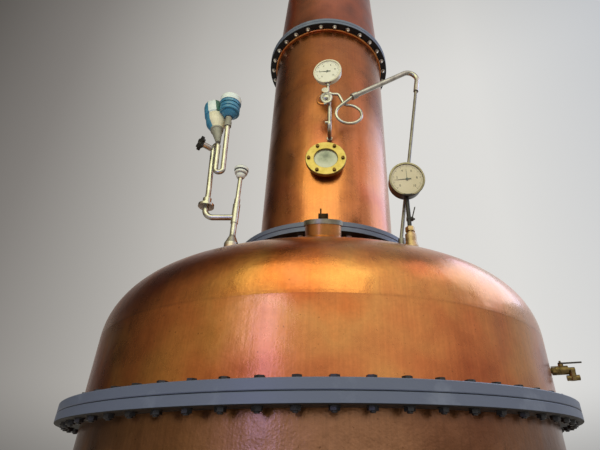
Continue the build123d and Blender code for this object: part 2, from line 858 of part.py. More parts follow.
siphon_boss_plane = Plane(origin=(siphon_side, 0, siphon_foot_height), x_dir=(1, 0, 0), z_dir=(0, -1, 0))
plug_height = siphon_foot_height + siphon_plug_rise
siphon_plug = turned_rod(
    Plane(origin=(siphon_side, neck_gauge_y, plug_height), z_dir=(-1, 0, 0)),
    ((siphon_plug_radius, siphon_plug_reach),),
)
neck_cock_centre = neck_stem_top - Vector(0, 0, neck_cock_drop)
neck_cock_bar = turned_rod(
    Plane(origin=neck_cock_centre - Vector(neck_cock_cap_side, 0, 0), z_dir=(1, 0, 0)),
    ((neck_cock_radius, neck_cock_cap_side + neck_cock_reach),),
)
neck_cock_cap = turned_rod(
    Plane(origin=neck_cock_centre - Vector(neck_cock_cap_side, 0, 0), z_dir=(0, -1, 0)),
    ((neck_cock_cap_radius, neck_cock_cap_depth),),
)
with BuildPart() as gauge_siphon:
    add(siphon_pipe)
    add(siphon_run)
    add(siphon_plug)
    add(neck_cock_bar)
    add(neck_cock_cap)
    with BuildSketch(siphon_boss_plane.offset(neck_radius - tap_boss_radius)):
        Circle(tap_boss_radius)
    extrude(amount=tap_boss_radius + tap_boss_reach)
    with BuildSketch(Plane.XY.offset(neck_bottom)):
        Circle(neck_radius + weld_gap)
    extrude(amount=neck_length, mode=Mode.SUBTRACT)
finish(gauge_siphon, "gauge_siphon")

# Balance loop: from the cock over and down, once round beside the siphon, and up to a union
union_centre = Vector(loop_side + union_radius, neck_gauge_y - 3 * siphon_pitch, loop_height + union_rise)
loop_start = neck_cock_centre + Vector(neck_cock_reach + weld_gap, 0, 0)
loop_crest = loop_start + Vector(loop_link_side, 0, 0)
loop_dip = Vector(loop_side - loop_dip_side, neck_gauge_y - siphon_pitch / 4, loop_height + loop_dip_rise)
loop_half = loop_radius * tan(radians(180 / 8))
loop_corners = (
    (loop_half, loop_radius),
    (loop_radius, loop_half),
    (loop_radius, -loop_half),
    (loop_half, -loop_radius),
    (-loop_half, -loop_radius),
    (-loop_radius, -loop_half),
    (-loop_radius, loop_half),
)
loop_turns = [
    Vector(loop_side + side, neck_gauge_y - siphon_pitch * (index + 1) / 3, loop_height + rise)
    for index, (side, rise) in enumerate(loop_corners)
]
loop_run = rod_along(
    (loop_start, loop_crest, loop_dip, *loop_turns, union_centre),
    (loop_link_bend, loop_link_bend, *[loop_bend] * len(loop_turns)),
    loop_tube_radius,
)
crown_clearance = crown_body(dome_crown_radius + weld_gap)
balance_y = -(neck_radius + balance_stand_off)
balance_top = Vector(balance_shoulder_side, balance_y, loop_height + balance_shoulder_rise)
balance_direction = (balance_top - union_centre).normalized()
union_bar = turned_rod(Plane(origin=union_centre, z_dir=balance_direction), ((union_radius, union_length),))
with BuildPart() as balance_loop:
    add(loop_run)
    add(union_bar)
finish(balance_loop, "balance_loop")

# Balance tube: a sleeved tube from the union, over the right shoulder and down to the crown
tube_start = union_centre + balance_direction * (union_length + weld_gap)
balance_ground = Vector(balance_foot_side, balance_y, dome_height(hypot(balance_foot_side, balance_y)))
balance_foot = balance_ground + Vector(0, 0, balance_foot_rise)
down_direction = (balance_foot - balance_top).normalized()
sleeve_end = balance_top + down_direction * balance_sleeve_drop
sleeve_run = rod_along((tube_start, balance_top, sleeve_end), balance_bend, balance_sleeve_radius)
thin_run = rod_along((sleeve_end, balance_foot, balance_ground), balance_foot_bend, balance_tube_radius)
balance_boss = turned_rod(Plane(origin=balance_ground), ((balance_boss_radius, balance_boss_height),))
with BuildPart() as balance_tube:
    add(sleeve_run)
    add(thin_run)
    add(balance_boss)
    add(crown_clearance, mode=Mode.SUBTRACT)
finish(balance_tube, "balance_tube")

# Relief nozzle: a short pipe set through the crown, with a fillet weld round its foot
crown_inside = crown_body(dome_crown_radius - dome_wall)
relief_root = 2 * dome_wall
relief_tube = turned_rod(
    relief_plane.offset(-relief_root),
    ((relief_radius, relief_root + relief_height),),
)
relief_weld_ring = lathe(
    relief_plane.offset(-relief_weld),
    (
        (relief_radius + relief_weld, relief_radius + relief_weld, relief_weld),
        (relief_radius + relief_weld, relief_radius, relief_weld),
    ),
)
with BuildPart() as relief_nozzle:
    add(relief_weld_ring)
    add(crown_clearance, mode=Mode.SUBTRACT)
    add(relief_tube)
    add(crown_inside, mode=Mode.SUBTRACT)
    with BuildSketch(relief_plane.offset(-relief_root)):
        Circle(relief_radius - relief_wall)
    extrude(amount=relief_root + relief_height, mode=Mode.SUBTRACT)
finish(relief_nozzle, "relief_nozzle")

# Relief valve: the lid, a bronze block and its spindle
with BuildPart() as relief_valve:
    with BuildSketch(relief_plane.offset(relief_height)):
        Circle(relief_lid_radius)
    extrude(amount=relief_lid_thickness)
    with BuildSketch(relief_plane.offset(relief_height + relief_lid_thickness)):
        RectangleRounded(relief_block, relief_block, relief_block_corner)
    extrude(amount=relief_block_height)
    spindle_bottom = relief_height + relief_lid_thickness + relief_block_height
    with BuildSketch(relief_plane.offset(spindle_bottom)):
        with Locations((-relief_spindle_shift, 0)):
            Circle(relief_spindle_radius)
    extrude(amount=relief_spindle_height)
finish(relief_valve, "relief_valve")

# Dome gauge on its long stem
dome_stem_top = polar(dome_gauge_reach, dome_gauge_angle, dome_gauge_foot)
dome_gauge_plane = gauge_front(dome_stem_top, 0, dome_gauge_tilt, dome_gauge_radius, dome_gauge_depth)
cock_hex_bottom = dome_cock_foot + cock_body_height + cock_neck_height
cock_top = cock_hex_bottom + cock_hex_height
dome_stem_plane = Plane(origin=(dome_stem_top.X, dome_stem_top.Y, cock_top + weld_gap))
dome_stem_length = dome_gauge_foot + gauge_stem_inset - cock_top - weld_gap
dome_case = gauge_case(dome_gauge_plane, dome_gauge_radius, dome_gauge_depth)
dome_stem = turned_rod(dome_stem_plane, ((gauge_stem_radius, dome_stem_length),))
plug_centre = Vector(dome_stem_top.X, dome_stem_top.Y, cock_top + cock_plug_rise)
plug_plane = Plane(origin=plug_centre, x_dir=(0, 1, 0), z_dir=(1, 0, 0))
plug_bar = turned_rod(
    plug_plane.offset(-cock_plug_radius),
    (
        (cock_plug_radius, 2 * cock_plug_radius + cock_plug_shoulder),
        (lever_spindle_radius, lever_spindle_reach - cock_plug_radius),
    ),
)
with BuildPart() as dome_gauge:
    add(dome_case)
    add(dome_stem)
    add(plug_bar)
finish(dome_gauge, "dome_gauge")

# Lever of the cock on the dome gauge's stem, upright when open and cranked away from the stem
lever_face = cock_plug_radius + cock_plug_shoulder + lever_gap
lever_side_plane = Plane(origin=plug_centre, x_dir=(1, 0, 0), z_dir=(0, -1, 0))
lever_outer = lever_face + lever_thickness
with BuildPart() as gauge_cock_lever:
    with BuildSketch(lever_side_plane):
        with BuildLine():
            Polyline(
                (lever_face, 0),
                (lever_outer, 0),
                (lever_outer, lever_crank_start),
                (lever_outer + lever_crank, lever_length),
                (lever_face + lever_crank, lever_length),
                (lever_face, lever_crank_start),
                close=True,
            )
        make_face()
    extrude(amount=lever_width / 2, both=True)
    with BuildSketch(plug_plane.offset(lever_face)):
        Circle(lever_hub_radius)
    extrude(amount=lever_thickness)
    with BuildSketch(plug_plane.offset(lever_face)):
        Circle(lever_spindle_radius + spindle_play)
    extrude(amount=lever_thickness, mode=Mode.SUBTRACT)
finish(gauge_cock_lever, "gauge_cock_lever")

# Brass body and hexagon under the dome gauge
cock_plane = Plane(origin=(dome_stem_top.X, dome_stem_top.Y, dome_cock_foot - cock_body_radius))
cock_bar = lathe(
    cock_plane,
    (
        (cock_body_foot_radius, cock_body_foot_radius, cock_body_radius + cock_foot_height),
        (cock_body_foot_radius, cock_body_radius, cock_foot_taper),
        (cock_body_radius, cock_body_radius, cock_body_height - cock_foot_height - cock_foot_taper),
        (cock_neck_radius, cock_neck_radius, cock_neck_height),
    ),
)
with BuildPart() as gauge_cock_body:
    add(cock_bar)
    with BuildSketch(Plane(origin=(dome_stem_top.X, dome_stem_top.Y, cock_hex_bottom))):
        RegularPolygon(cock_hex_width / 2, 6, major_radius=False)
    extrude(amount=cock_hex_height)
    add(crown_clearance, mode=Mode.SUBTRACT)
finish(gauge_cock_body, "gauge_cock_body")

# Instrument standpipe: flared boss, riser, tee, side arm, union and nut
tree_plane = Plane(origin=(tree_x, tree_y, tree_foot - tree_boss_radius))
tree_union_x = tree_x - tree_arm_reach
tree_arm = rod_along(
    (
        Vector(tree_x, tree_y, tree_tee_height),
        Vector(tree_union_x, tree_y, tree_tee_height),
        Vector(tree_union_x, tree_y, tree_arm_top),
    ),
    tree_arm_bend,
    tree_pipe_radius,
)
tree_union = turned_rod(
    Plane(origin=(tree_union_x, tree_y, tree_arm_top)),
    ((tree_union_radius, tree_union_thickness), (tree_nut_radius, tree_nut_height)),
)
riser_to_tee = tree_tee_rise - tree_tee_below - tree_boss_height - tree_boss_taper
tree_riser = lathe(
    tree_plane,
    (
        (tree_boss_radius, tree_boss_radius, tree_boss_radius + tree_boss_height),
        (tree_boss_radius, tree_pipe_radius, tree_boss_taper),
        (tree_pipe_radius, tree_pipe_radius, riser_to_tee),
        (tree_tee_radius, tree_tee_radius, tree_tee_below + tree_tee_above),
        (tree_pipe_radius, tree_pipe_radius, tree_nipple_length),
    ),
)
with BuildPart() as instrument_standpipe:
    add(tree_riser)
    add(tree_arm)
    add(tree_union)
    add(crown_clearance, mode=Mode.SUBTRACT)
finish(instrument_standpipe, "instrument_standpipe")

# Temperature probe on top of the tee: a stem, a cup and two stacked heads under a lid
probe_bottom = tree_tee_height + tree_tee_above + tree_nipple_length + weld_gap
probe_bar = lathe(
    Plane(origin=(tree_x, tree_y, probe_bottom)),
    (
        (probe_stem_radius, probe_stem_radius, probe_stem_top - probe_bottom),
        (probe_cup_foot, probe_cup_radius, probe_cup_height),
        (probe_collar_radius, probe_collar_radius, probe_collar_height),
        (probe_cup_radius, probe_cup_radius, probe_groove_height),
        (probe_head_radius, probe_head_radius, probe_head_height),
        (probe_lid_radius, probe_lid_radius, probe_lid_height),
    ),
)
with BuildPart() as temperature_probe:
    add(probe_bar)
finish(temperature_probe, "temperature_probe")

# Instrument siphon: up from the nut, over to the front, down and up again to the transmitter
siphon_base = Vector(tree_union_x, tree_y, tree_siphon_foot)
riser_start = siphon_base + Vector(0, 0, tree_riser_start)
riser_end = Vector(tree_union_x - tree_riser_lean, tree_y, tree_riser_top)
fold_end = riser_end + Vector(tree_fold_side, -tree_fold_front, 0)
dip_start = Vector(fold_end.X + tree_left_lean, fold_end.Y, tree_siphon_bottom)
dip_end = dip_start + Vector(tree_siphon_gap, 0, 0)
siphon_top = Vector(dip_end.X - tree_right_lean, dip_end.Y, tree_siphon_top)
tree_siphon_route = (siphon_base, riser_start, riser_end, fold_end, dip_start, dip_end, siphon_top)
tree_siphon_run = rod_along(tree_siphon_route, tree_siphon_bend, tree_siphon_radius)
with BuildPart() as instrument_siphon:
    add(tree_siphon_run)
finish(instrument_siphon, "instrument_siphon")

# Pressure transmitter in line with the end of the siphon: nut, tapered body, grooved ring and cap
pressure_direction = (siphon_top - dip_end).normalized()
groove_radius = transmitter_ring_radius - transmitter_groove_depth
pressure_bar = lathe(
    Plane(origin=siphon_top + pressure_direction * weld_gap, z_dir=pressure_direction),
    (
        (transmitter_nut_radius, transmitter_nut_radius, transmitter_nut_height),
        (transmitter_foot_radius, transmitter_body_radius, transmitter_foot_height),
        (transmitter_body_radius, transmitter_body_radius, transmitter_body_height),
        (transmitter_ring_radius, transmitter_ring_radius, transmitter_ring_height),
        (groove_radius, groove_radius, transmitter_groove_height),
        (transmitter_ring_radius, transmitter_ring_radius, transmitter_ring_height),
        (transmitter_cap_radius, transmitter_cap_radius, transmitter_cap_height),
    ),
)
with BuildPart() as pressure_transmitter:
    add(pressure_bar)
    fillet(pressure_transmitter.faces().sort_by(Axis.Z)[-1].edges(), transmitter_cap_round)
finish(pressure_transmitter, "pressure_transmitter")

# Level transmitter, which leans to the left and back and is saddled on the top bend of the siphon
lean_direction = Vector(-tan(radians(level_lean_side)), tan(radians(level_lean_back)), 1).normalized()
second_bar = lathe(
    Plane(origin=fold_end, z_dir=lean_direction),
    (
        (tree_siphon_radius, level_cone_radius, level_cone_length),
        (level_collar_radius, level_collar_radius, level_collar_height),
        (level_collar_radius, level_body_radius, level_taper_height),
        (level_body_radius, level_body_radius, level_body_height),
        (level_cap_radius, level_cap_radius, level_cap_height),
    ),
)
siphon_clearance = rod_along(tree_siphon_route, tree_siphon_bend, tree_siphon_radius + weld_gap)
with BuildPart() as level_transmitter:
    add(second_bar)
    fillet(level_transmitter.faces().sort_by(Axis.Z)[-1].edges(), level_cap_round)
    add(siphon_clearance, mode=Mode.SUBTRACT)
finish(level_transmitter, "level_transmitter")

# Needle valve with its spindle, on the left of the siphon's riser
wheel_turn = radians(handwheel_turn)
valve_direction = Vector(-sin(wheel_turn), -cos(wheel_turn), 0)
valve_centre = riser_end - (riser_end - riser_start).normalized() * needle_valve_drop
valve_root = valve_centre + valve_direction * (tree_siphon_radius + weld_gap)
valve_plane = Plane(origin=valve_root, z_dir=valve_direction)
needle_bar = turned_rod(
    valve_plane,
    (
        (needle_valve_radius, needle_valve_length),
        (lever_spindle_radius, handwheel_thickness + handwheel_spindle_tip),
    ),
)
with BuildPart() as needle_valve:
    add(needle_bar)
finish(needle_valve, "needle_valve")

# Lobed handwheel of the needle valve
with BuildPart() as valve_handwheel:
    with BuildSketch(valve_plane.offset(needle_valve_length + lever_gap)):
        Circle(handwheel_radius - handwheel_lobe_radius)
        with PolarLocations(handwheel_radius - handwheel_lobe_radius, handwheel_lobes):
            Circle(handwheel_lobe_radius)
        Circle(lever_spindle_radius + spindle_play, mode=Mode.SUBTRACT)
    extrude(amount=handwheel_thickness)
finish(valve_handwheel, "valve_handwheel")

# Sampling valve: nipple, hexagon, ball body, tail and a lower tee
side_out = polar(1, side_valve_angle, 0)
side_root = polar(dome_radius - dome_wall, side_valve_angle, side_valve_height)
side_plane = Plane(origin=side_root, x_dir=(0, 0, 1), z_dir=side_out)
side_body_start = dome_wall + side_nipple_length + side_hex_length
side_body_centre = side_root + side_out * (side_body_start + side_body_length / 2)
side_bar = turned_rod(
    side_plane,
    (
        (side_nipple_radius, side_body_start),
        (side_body_radius, side_body_length),
        (side_nipple_radius, side_tail_length),
    ),
)
side_spindle = turned_rod(
    Plane(origin=side_body_centre),
    (
        (side_nipple_radius, side_body_radius + side_bonnet_rise),
        (lever_spindle_radius, side_spindle_height - side_body_radius),
    ),
)
tail_centre = side_root + side_out * (side_body_start + side_body_length + side_tail_length / 2)
tee_bottom = tail_centre - Vector(0, 0, side_tee_drop)
side_tee = turned_rod(Plane(origin=tee_bottom), ((side_tee_radius, side_tee_drop),))
branch_start = tail_centre - Vector(0, 0, side_branch_drop) - side_out * side_branch_length / 2
side_branch = turned_rod(
    Plane(origin=branch_start, z_dir=side_out),
    ((side_branch_radius, side_branch_length),),
)
with BuildPart() as side_valve:
    add(side_bar)
    with BuildSketch(side_plane.offset(dome_wall + side_nipple_length)):
        RegularPolygon(side_hex_width / 2, 6, major_radius=False)
    extrude(amount=side_hex_length)
    add(side_spindle)
    add(side_tee)
    add(side_branch)
    with BuildSketch(Plane.XY.offset(main_flange_top)):
        Circle(dome_radius + weld_gap)
    extrude(amount=dome_band_height, mode=Mode.SUBTRACT)
finish(side_valve, "side_valve")

# Lever of the sampling valve, in line with the valve when open
side_lever_plane = Plane(
    origin=side_body_centre + Vector(0, 0, side_body_radius + side_bonnet_rise + lever_gap),
    x_dir=side_out,
    z_dir=(0, 0, 1),
)
with BuildPart() as side_valve_lever:
    with BuildSketch(side_lever_plane):
        Circle(lever_hub_radius)
        with Locations((side_lever_length / 2, 0)):
            Rectangle(side_lever_length, lever_width)
        with Locations((side_lever_length, 0)):
            Circle(lever_width / 2)
        Circle(lever_spindle_radius + spindle_play, mode=Mode.SUBTRACT)
    extrude(amount=lever_thickness)
finish(side_valve_lever, "side_valve_lever")
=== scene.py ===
import bmesh
import bpy
from math import cos, pi, radians, sin, sqrt
from mathutils import Matrix, Vector


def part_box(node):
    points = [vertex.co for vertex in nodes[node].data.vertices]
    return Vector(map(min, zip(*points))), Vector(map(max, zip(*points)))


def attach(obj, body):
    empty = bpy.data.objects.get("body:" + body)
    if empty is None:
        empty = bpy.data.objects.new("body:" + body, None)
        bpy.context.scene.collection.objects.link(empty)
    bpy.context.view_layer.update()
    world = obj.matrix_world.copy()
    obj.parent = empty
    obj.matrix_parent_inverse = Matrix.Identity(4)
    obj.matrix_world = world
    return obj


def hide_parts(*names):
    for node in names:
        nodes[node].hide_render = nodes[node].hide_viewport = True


# Looks of a copper pot still: planished copper, painted flanges, bolts, dials and small tube.
# Metres, +Z up, the front faces -Y, as in the frame.

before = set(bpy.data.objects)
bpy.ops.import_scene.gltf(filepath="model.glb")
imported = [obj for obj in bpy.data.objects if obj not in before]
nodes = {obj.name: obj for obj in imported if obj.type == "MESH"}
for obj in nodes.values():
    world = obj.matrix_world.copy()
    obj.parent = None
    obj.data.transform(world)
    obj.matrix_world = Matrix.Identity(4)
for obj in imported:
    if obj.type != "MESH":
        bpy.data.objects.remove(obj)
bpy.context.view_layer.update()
scene = bpy.context.scene
STILL = "still"
UPRIGHT = Vector((0, 0, 1))

# Camera of the photograph
CAMERA_PLACE = Vector((0.0456, -2.0092, 1.600))
CAMERA_LENS = 25.13
CAMERA_SENSOR = 36.0
CAMERA_PITCH = radians(29.71)
CAMERA_YAW = radians(-0.80)
CAMERA_ROLL = radians(-0.33)
CAMERA_SHIFT = (-0.0669, -0.0024)

# Room light round the still: degrees from the front towards the right, and its tone
ROOM_LIGHT = (
    (-180, "#DAD8D4"), (-155, "#B8B5B0"), (-138, "#827E7A"), (-122, "#403C38"), (-108, "#302C28"),
    (-90, "#70654E"), (-66, "#AA9E80"), (-45, "#CEC19C"), (-25, "#F4E9D0"), (0, "#FAF4EA"),
    (32, "#FCF6EE"), (52, "#EEE4DE"), (73, "#D6CAC6"), (96, "#B0AEB0"), (125, "#BCC0C6"),
    (155, "#DEDDDA"), (180, "#DAD8D4"),
)
# Where it dims near the floor and overhead: upward share of the direction, from and to, and its level there
ROOM_DIMMING = ((-0.05, 0.15, 0.5, 1.0), (0.70, 0.98, 1.0, 0.65))
# Soft boxes: name, place, point they face, width, height, radiance and tone
SOFT_BOXES = (
    ("key_lamp", (-0.30, -2.55, 4.25), (0, -0.7, 2.3), 2.9, 1.5, 1.85, "#EDF7B4"),
    ("left_strip", (-1.45, -3.65, 2.45), (0, -0.6, 2.0), 0.50, 1.5, 5.6, "#949CFF"),
    ("right_fill", (2.7, -1.45, 5.4), (0, 0, 2.8), 1.5, 1.5, 0.8, "#FFDCD8"),
    ("right_daylight", (4.3, 1.0, 5.5), (0, 0, 2.6), 4.0, 2.6, 2.4, "#C2D6FF"),
)
FLOOR_HALF = 30.0

# Main sizes, read from the frame
flange_low, flange_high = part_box("main_flange_lower")
base_low, base_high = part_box("base_flange_lower")
top_low, top_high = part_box("top_flange_lower")
ring_low, ring_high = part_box("sight_ring")
pane_low, pane_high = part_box("sight_pane")
probe_low, probe_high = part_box("temperature_probe")
door_low, door_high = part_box("manway_door")
MAIN_RADIUS = flange_high.x
DOME_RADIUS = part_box("dome_band")[1].x
NECK_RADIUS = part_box("neck")[1].x
BASE_RADIUS = base_high.x
TOP_RADIUS = top_high.x
MAIN_FLANGE_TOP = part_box("main_flange_upper")[1].z
BASE_FLANGE_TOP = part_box("base_flange_upper")[1].z
TOP_FLANGE_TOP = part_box("top_flange_upper")[1].z

# Seam between the straight band of the dome and its crown, how far and within what height the copper
# turns in above it, and half the width of its dark line
SEAM_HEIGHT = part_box("dome_crown")[0].z
SEAM_TURN = 0.011
SEAM_REACH = 0.075
SEAM_HALF = 0.007

# Bolts: across flats, head, nut, how far the thread stands out, and washer
MAIN_BOLT = {"flats": 0.024, "head": 0.0075, "nut": 0.009, "tail": 0.004, "washer": 0.015}
BASE_BOLT = {"flats": 0.022, "head": 0.009, "nut": 0.012, "tail": 0.008, "washer": 0.014}
TOP_BOLT = {"flats": 0.019, "head": 0.009, "nut": 0.008, "tail": 0.008, "washer": 0.013}
SIGHT_BOLT = {"flats": 0.015, "head": 0.006, "washer": 0.0095}
DOOR_BOLT = {"flats": 0.022, "head": 0.011, "washer": 0.014}
FLANGE_WASHER = 0.0025
SMALL_WASHER = 0.0015
WASHER_SIDES = 20
HEXAGON = 6
THREAD_SIDES = 12
# Shares of the corner radius and of the flats: chamfer, thread, and the thread's end with its length
CHAMFER = 0.10
THREAD = 0.32
THREAD_END = 0.8
THREAD_END_LENGTH = 0.002
# Number of bolts, and how their circles lie: off the middle of the base flange, and in from the door's edge
MAIN_BOLTS = 68
BASE_BOLTS = 24
TOP_BOLTS = 28
SIGHT_BOLTS = 6
DOOR_BOLTS = 16
BASE_CIRCLE_SHIFT = 0.006
SIGHT_BOLT_CIRCLE = 0.084
DOOR_BOLT_INSET = 0.017
DOOR_THICKNESS = 0.014
FRONT_ANGLE = radians(-90)
TURN_SEED = 7

# Brazed fillets: circle, bar, segments and height of each
FILLETS = (
    ("dome_fillet", DOME_RADIUS + 0.001, 0.0035, 360, MAIN_FLANGE_TOP),
    ("neck_fillet", NECK_RADIUS + 0.001, 0.004, 180, BASE_FLANGE_TOP),
    ("collar_fillet", NECK_RADIUS + 0.003, 0.007, 180, top_low.z - 0.004),
)
FILLET_SECTION = 8
RIPPLE_LIFT = 0.0010

# Dials: 10 parts with 5 small ones each over three quarters of a turn, and the angles of the hands
NECK_DIAL = {"place": (0.00261, -0.48136, 3.40610), "turn": 12.0, "tilt": 8.0, "radius": 0.0672, "needle": 174.0}
DOME_DIAL = {"place": (0.35692, -0.53749, 2.66427), "turn": 0.0, "tilt": 12.0, "radius": 0.0696, "needle": 185.0,
             "set_hand": 93.0}
DIAL_FLOOR = -0.0058
DIAL_START = radians(225)
DIAL_SWEEP = radians(270)
DIAL_PARTS = 10
SMALL_PARTS = 5
# Heights over the dial's floor: card, ink, hub, needle and set hand
CARD_TOP = 0.0008
INK_TOP = 0.0011
HUB = ((0.0062, 0.0012), (0.0062, 0.0032), (0.0050, 0.0036))
NEEDLE_SPAN = (0.0020, 0.0028)
SET_HAND_SPAN = (0.0013, 0.0018)
# Shares of the dial's radius: ends of the marks, needle, set hand, numbers and their height
MARK_END = 0.92
LONG_MARK_START = 0.80
SHORT_MARK_START = 0.86
NEEDLE_TIP = 0.82
NEEDLE_WAIST = 0.1
NEEDLE_TAIL = -0.26
SET_HAND_TIP = 0.66
NUMBER_CIRCLE = 0.63
NUMBER_HEIGHT = 0.2
# Half widths of the marks and hands, and the ink's thickness
LONG_MARK_HALF = 0.0006
SHORT_MARK_HALF = 0.0003
NEEDLE_WAIST_HALF = 0.0017
NEEDLE_TAIL_HALF = 0.0028
SET_HAND_HALF = 0.0007
NUMBER_THICKNESS = 0.0002
CARD_SIDES = 96
HUB_SIDES = 32

# Turned heads: radius and height from the foot, heights where the finish changes, place and lean
PROBE_PROFILE = (
    (0.0100, 0.0), (0.0100, 0.114), (0.0140, 0.116), (0.0205, 0.126), (0.0218, 0.132), (0.0212, 0.137),
    (0.0196, 0.138), (0.0196, 0.141), (0.0285, 0.142), (0.0295, 0.146), (0.0290, 0.152), (0.0262, 0.153),
    (0.0262, 0.157), (0.0325, 0.158), (0.0332, 0.162), (0.0325, 0.171), (0.0290, 0.175),
)
PROBE_STEM_TOP = 0.115
PROBE_GROOVES = ((0.1375, 0.1415), (0.1525, 0.1575), (0.1705, 0.18))
PRESSURE_PROFILE = (
    (0.0165, 0.0), (0.0168, 0.030), (0.0150, 0.032), (0.0150, 0.058), (0.0200, 0.060), (0.0370, 0.082),
    (0.0372, 0.087), (0.0470, 0.088), (0.0490, 0.091), (0.0490, 0.103), (0.0470, 0.105), (0.0452, 0.106),
    (0.0452, 0.110), (0.0480, 0.111), (0.0492, 0.114), (0.0492, 0.127), (0.0480, 0.130), (0.0450, 0.131),
    (0.0450, 0.134), (0.0490, 0.135), (0.0500, 0.138), (0.0500, 0.150), (0.0525, 0.151), (0.0530, 0.156),
    (0.0528, 0.180), (0.0500, 0.187), (0.0440, 0.192), (0.0300, 0.195),
)
PRESSURE_NECK_TOP = 0.059
PRESSURE_SEALS = ((0.058, 0.062), (0.1055, 0.1105), (0.1305, 0.1345))
PRESSURE_CAP_FOOT = 0.1505
PRESSURE_FOOT = Vector((-0.4890, -0.4330, 3.0543))
PRESSURE_LEAN = Vector((-0.0282, 0.0, 1.0))
LEVEL_PROFILE = (
    (0.0120, 0.010), (0.0150, 0.030), (0.0270, 0.098), (0.0310, 0.100), (0.0310, 0.112), (0.0350, 0.120),
    (0.0470, 0.150), (0.0490, 0.156), (0.0490, 0.205), (0.0470, 0.207), (0.0470, 0.211), (0.0515, 0.213),
    (0.0530, 0.218), (0.0530, 0.285), (0.0500, 0.300), (0.0400, 0.312), (0.0220, 0.318),
)
LEVEL_NECK_TOP = 0.113
LEVEL_LID_FOOT = 0.206
# The level transmitter is blue on the one side of its axis and green on the other, by share of its radius
LEVEL_BLUE_SIDE = -0.46
LEVEL_GREEN_SIDE = 0.34
LEVEL_AXIS = 0.001
LEVEL_FOOT = Vector((-0.520, -0.433, 2.943))
LEVEL_LEAN = Vector((-0.2493, 0.1763, 1.0))
# Round cap with a raised boss on the cock under the neck gauge
COCK_CAP_PROFILE = (
    (0.0100, -0.0200), (0.0100, 0.0), (0.0275, 0.001), (0.0305, 0.003), (0.0305, 0.009), (0.0280, 0.011),
    (0.0190, 0.0105), (0.0165, 0.008), (0.0110, 0.008), (0.0100, 0.014), (0.0070, 0.015),
)
COCK_CAP_PLACE = Vector((0.0005, -0.462, 3.2220))
COCK_CAP_TURN = radians(110)
HEAD_SIDES = 40
HEAD_EDGE = 32
BOLT_EDGE = 35
FILLET_EDGE = 60

# Places where the finish of a fitting changes
NECK_STEM_TOP = 3.334
DOME_STEM_TOP = 2.596
STANDPIPE_BOSS = 2.372
BLOCK_FOOT = 2.400
COCK_END_SIDE = -0.012
COCK_END_TOP = 3.25
SLEEVE_END = 3.33
THIN_TUBE_SIDE = 0.3
# How squarely a face points: forward on a gauge's rim, and down on a flange's underside
RIM_SHARE = 0.7
UNDERSIDE = -0.5

# Scales of the patterns: a pattern of scale 1 has its marks 1 m apart, so each is 1000 over a size in millimetres
HEAT_CLOUD = 2.1  # clouds of heat colour, 480 mm
SHEET_WAVE = 4.2  # waves that the rolls leave in sheet, 240 mm
STAIN = 11.0  # stains and wiped patches, 90 mm
HAMMER_DENT = 34.0  # marks of a planishing hammer, 29 mm
TARNISH_GRAIN = 85.0  # fine tarnish, about 1 mm on the real sheet and drawn at 12 mm, so that it shows
SPLASH = 120.0  # dried splashes, 8 mm apart where they are densest
HAMMER_POCK = 150.0  # grit under the hammer, about 1 mm and drawn at 7 mm
BRUSH_STROKE = (110.0, 110.0, 3.0)  # upright brush strokes 330 mm long, under 1 mm wide and drawn at 9 mm
PAINT_CLOUD = 7.0  # rubbed patches on paint, 140 mm
PAINT_STROKE = (60.0, 60.0, 700.0)  # level bristle marks, 0.5 mm apart and drawn at 1.4 mm
TURNING_SHARE = 14  # turning marks for each cloud of a metal, about 0.2 mm and drawn at 2 to 3 mm
SKIN = 900.0  # orange peel of a sprayed or moulded skin, 1.1 mm
GLASS_FILM = 45.0  # patches of dried wash on glass, 22 mm
BEAD_RIPPLE = 30.0  # ripple of a brazed bead, 33 mm
# Most of a noise lies between these values
NOISE_SPAN = {"From Min": 0.3, "From Max": 0.7}

# Relief in metres: waves and strokes of the copper, strokes of the paint, turning marks of a metal
WAVE_DEPTH = 0.009
STROKE_DEPTH = 0.00020
PAINT_DEPTH = 0.0003
TURNING_DEPTH = 0.0002
# A planishing dent is this many times as deep as the pocks in it
DENT_SHARE = 1.6
SPLASH_TONE = "#4A2412"
# Sight glass: how far the painted shade of the dark still inside lies over its middle, how far it reaches, and how
# uneven its edge is
SHADE_RISE = 0.020
SHADE_REACH = 0.062
SHADE_UNEVEN = 0.010


def linear(code):
    """Linear colour, with alpha, from an sRGB hex code."""
    channels = [int(code[i:i + 2], 16) / 255 for i in (1, 3, 5)]
    return [c / 12.92 if c <= 0.04045 else ((c + 0.055) / 1.055) ** 2.4 for c in channels] + [1.0]


def add(tree, kind, inputs=None, stops=None, **settings):
    """Add one node with its settings, input values or links, and ramp stops."""
    node = tree.nodes.new(kind)
    for key, value in settings.items():
        setattr(node, key, value)
    for key, value in (inputs or {}).items():
        if isinstance(value, bpy.types.NodeSocket):
            tree.links.new(value, node.inputs[key])
        else:
            node.inputs[key].default_value = value
    if stops:
        ramp = node.color_ramp
        ramp.elements.remove(ramp.elements[1])
        ramp.elements[0].position = stops[0][0]
        ramp.elements[0].color = linear(stops[0][1])
        for position, code in stops[1:]:
            ramp.elements.new(position).color = linear(code)
    return node


def start_material(name):
    """Empty material with its tree and its object coordinates."""
    material = bpy.data.materials.new(name)
    material.use_nodes = True
    tree = material.node_tree
    tree.nodes.clear()
    place = add(tree, "ShaderNodeTexCoord").outputs["Object"]
    return material, tree, place


def end_material(tree, inputs):
    """Principled shader with these inputs, joined to the output."""
    shader = add(tree, "ShaderNodeBsdfPrincipled", inputs)
    add(tree, "ShaderNodeOutputMaterial", {"Surface": shader.outputs["BSDF"]})


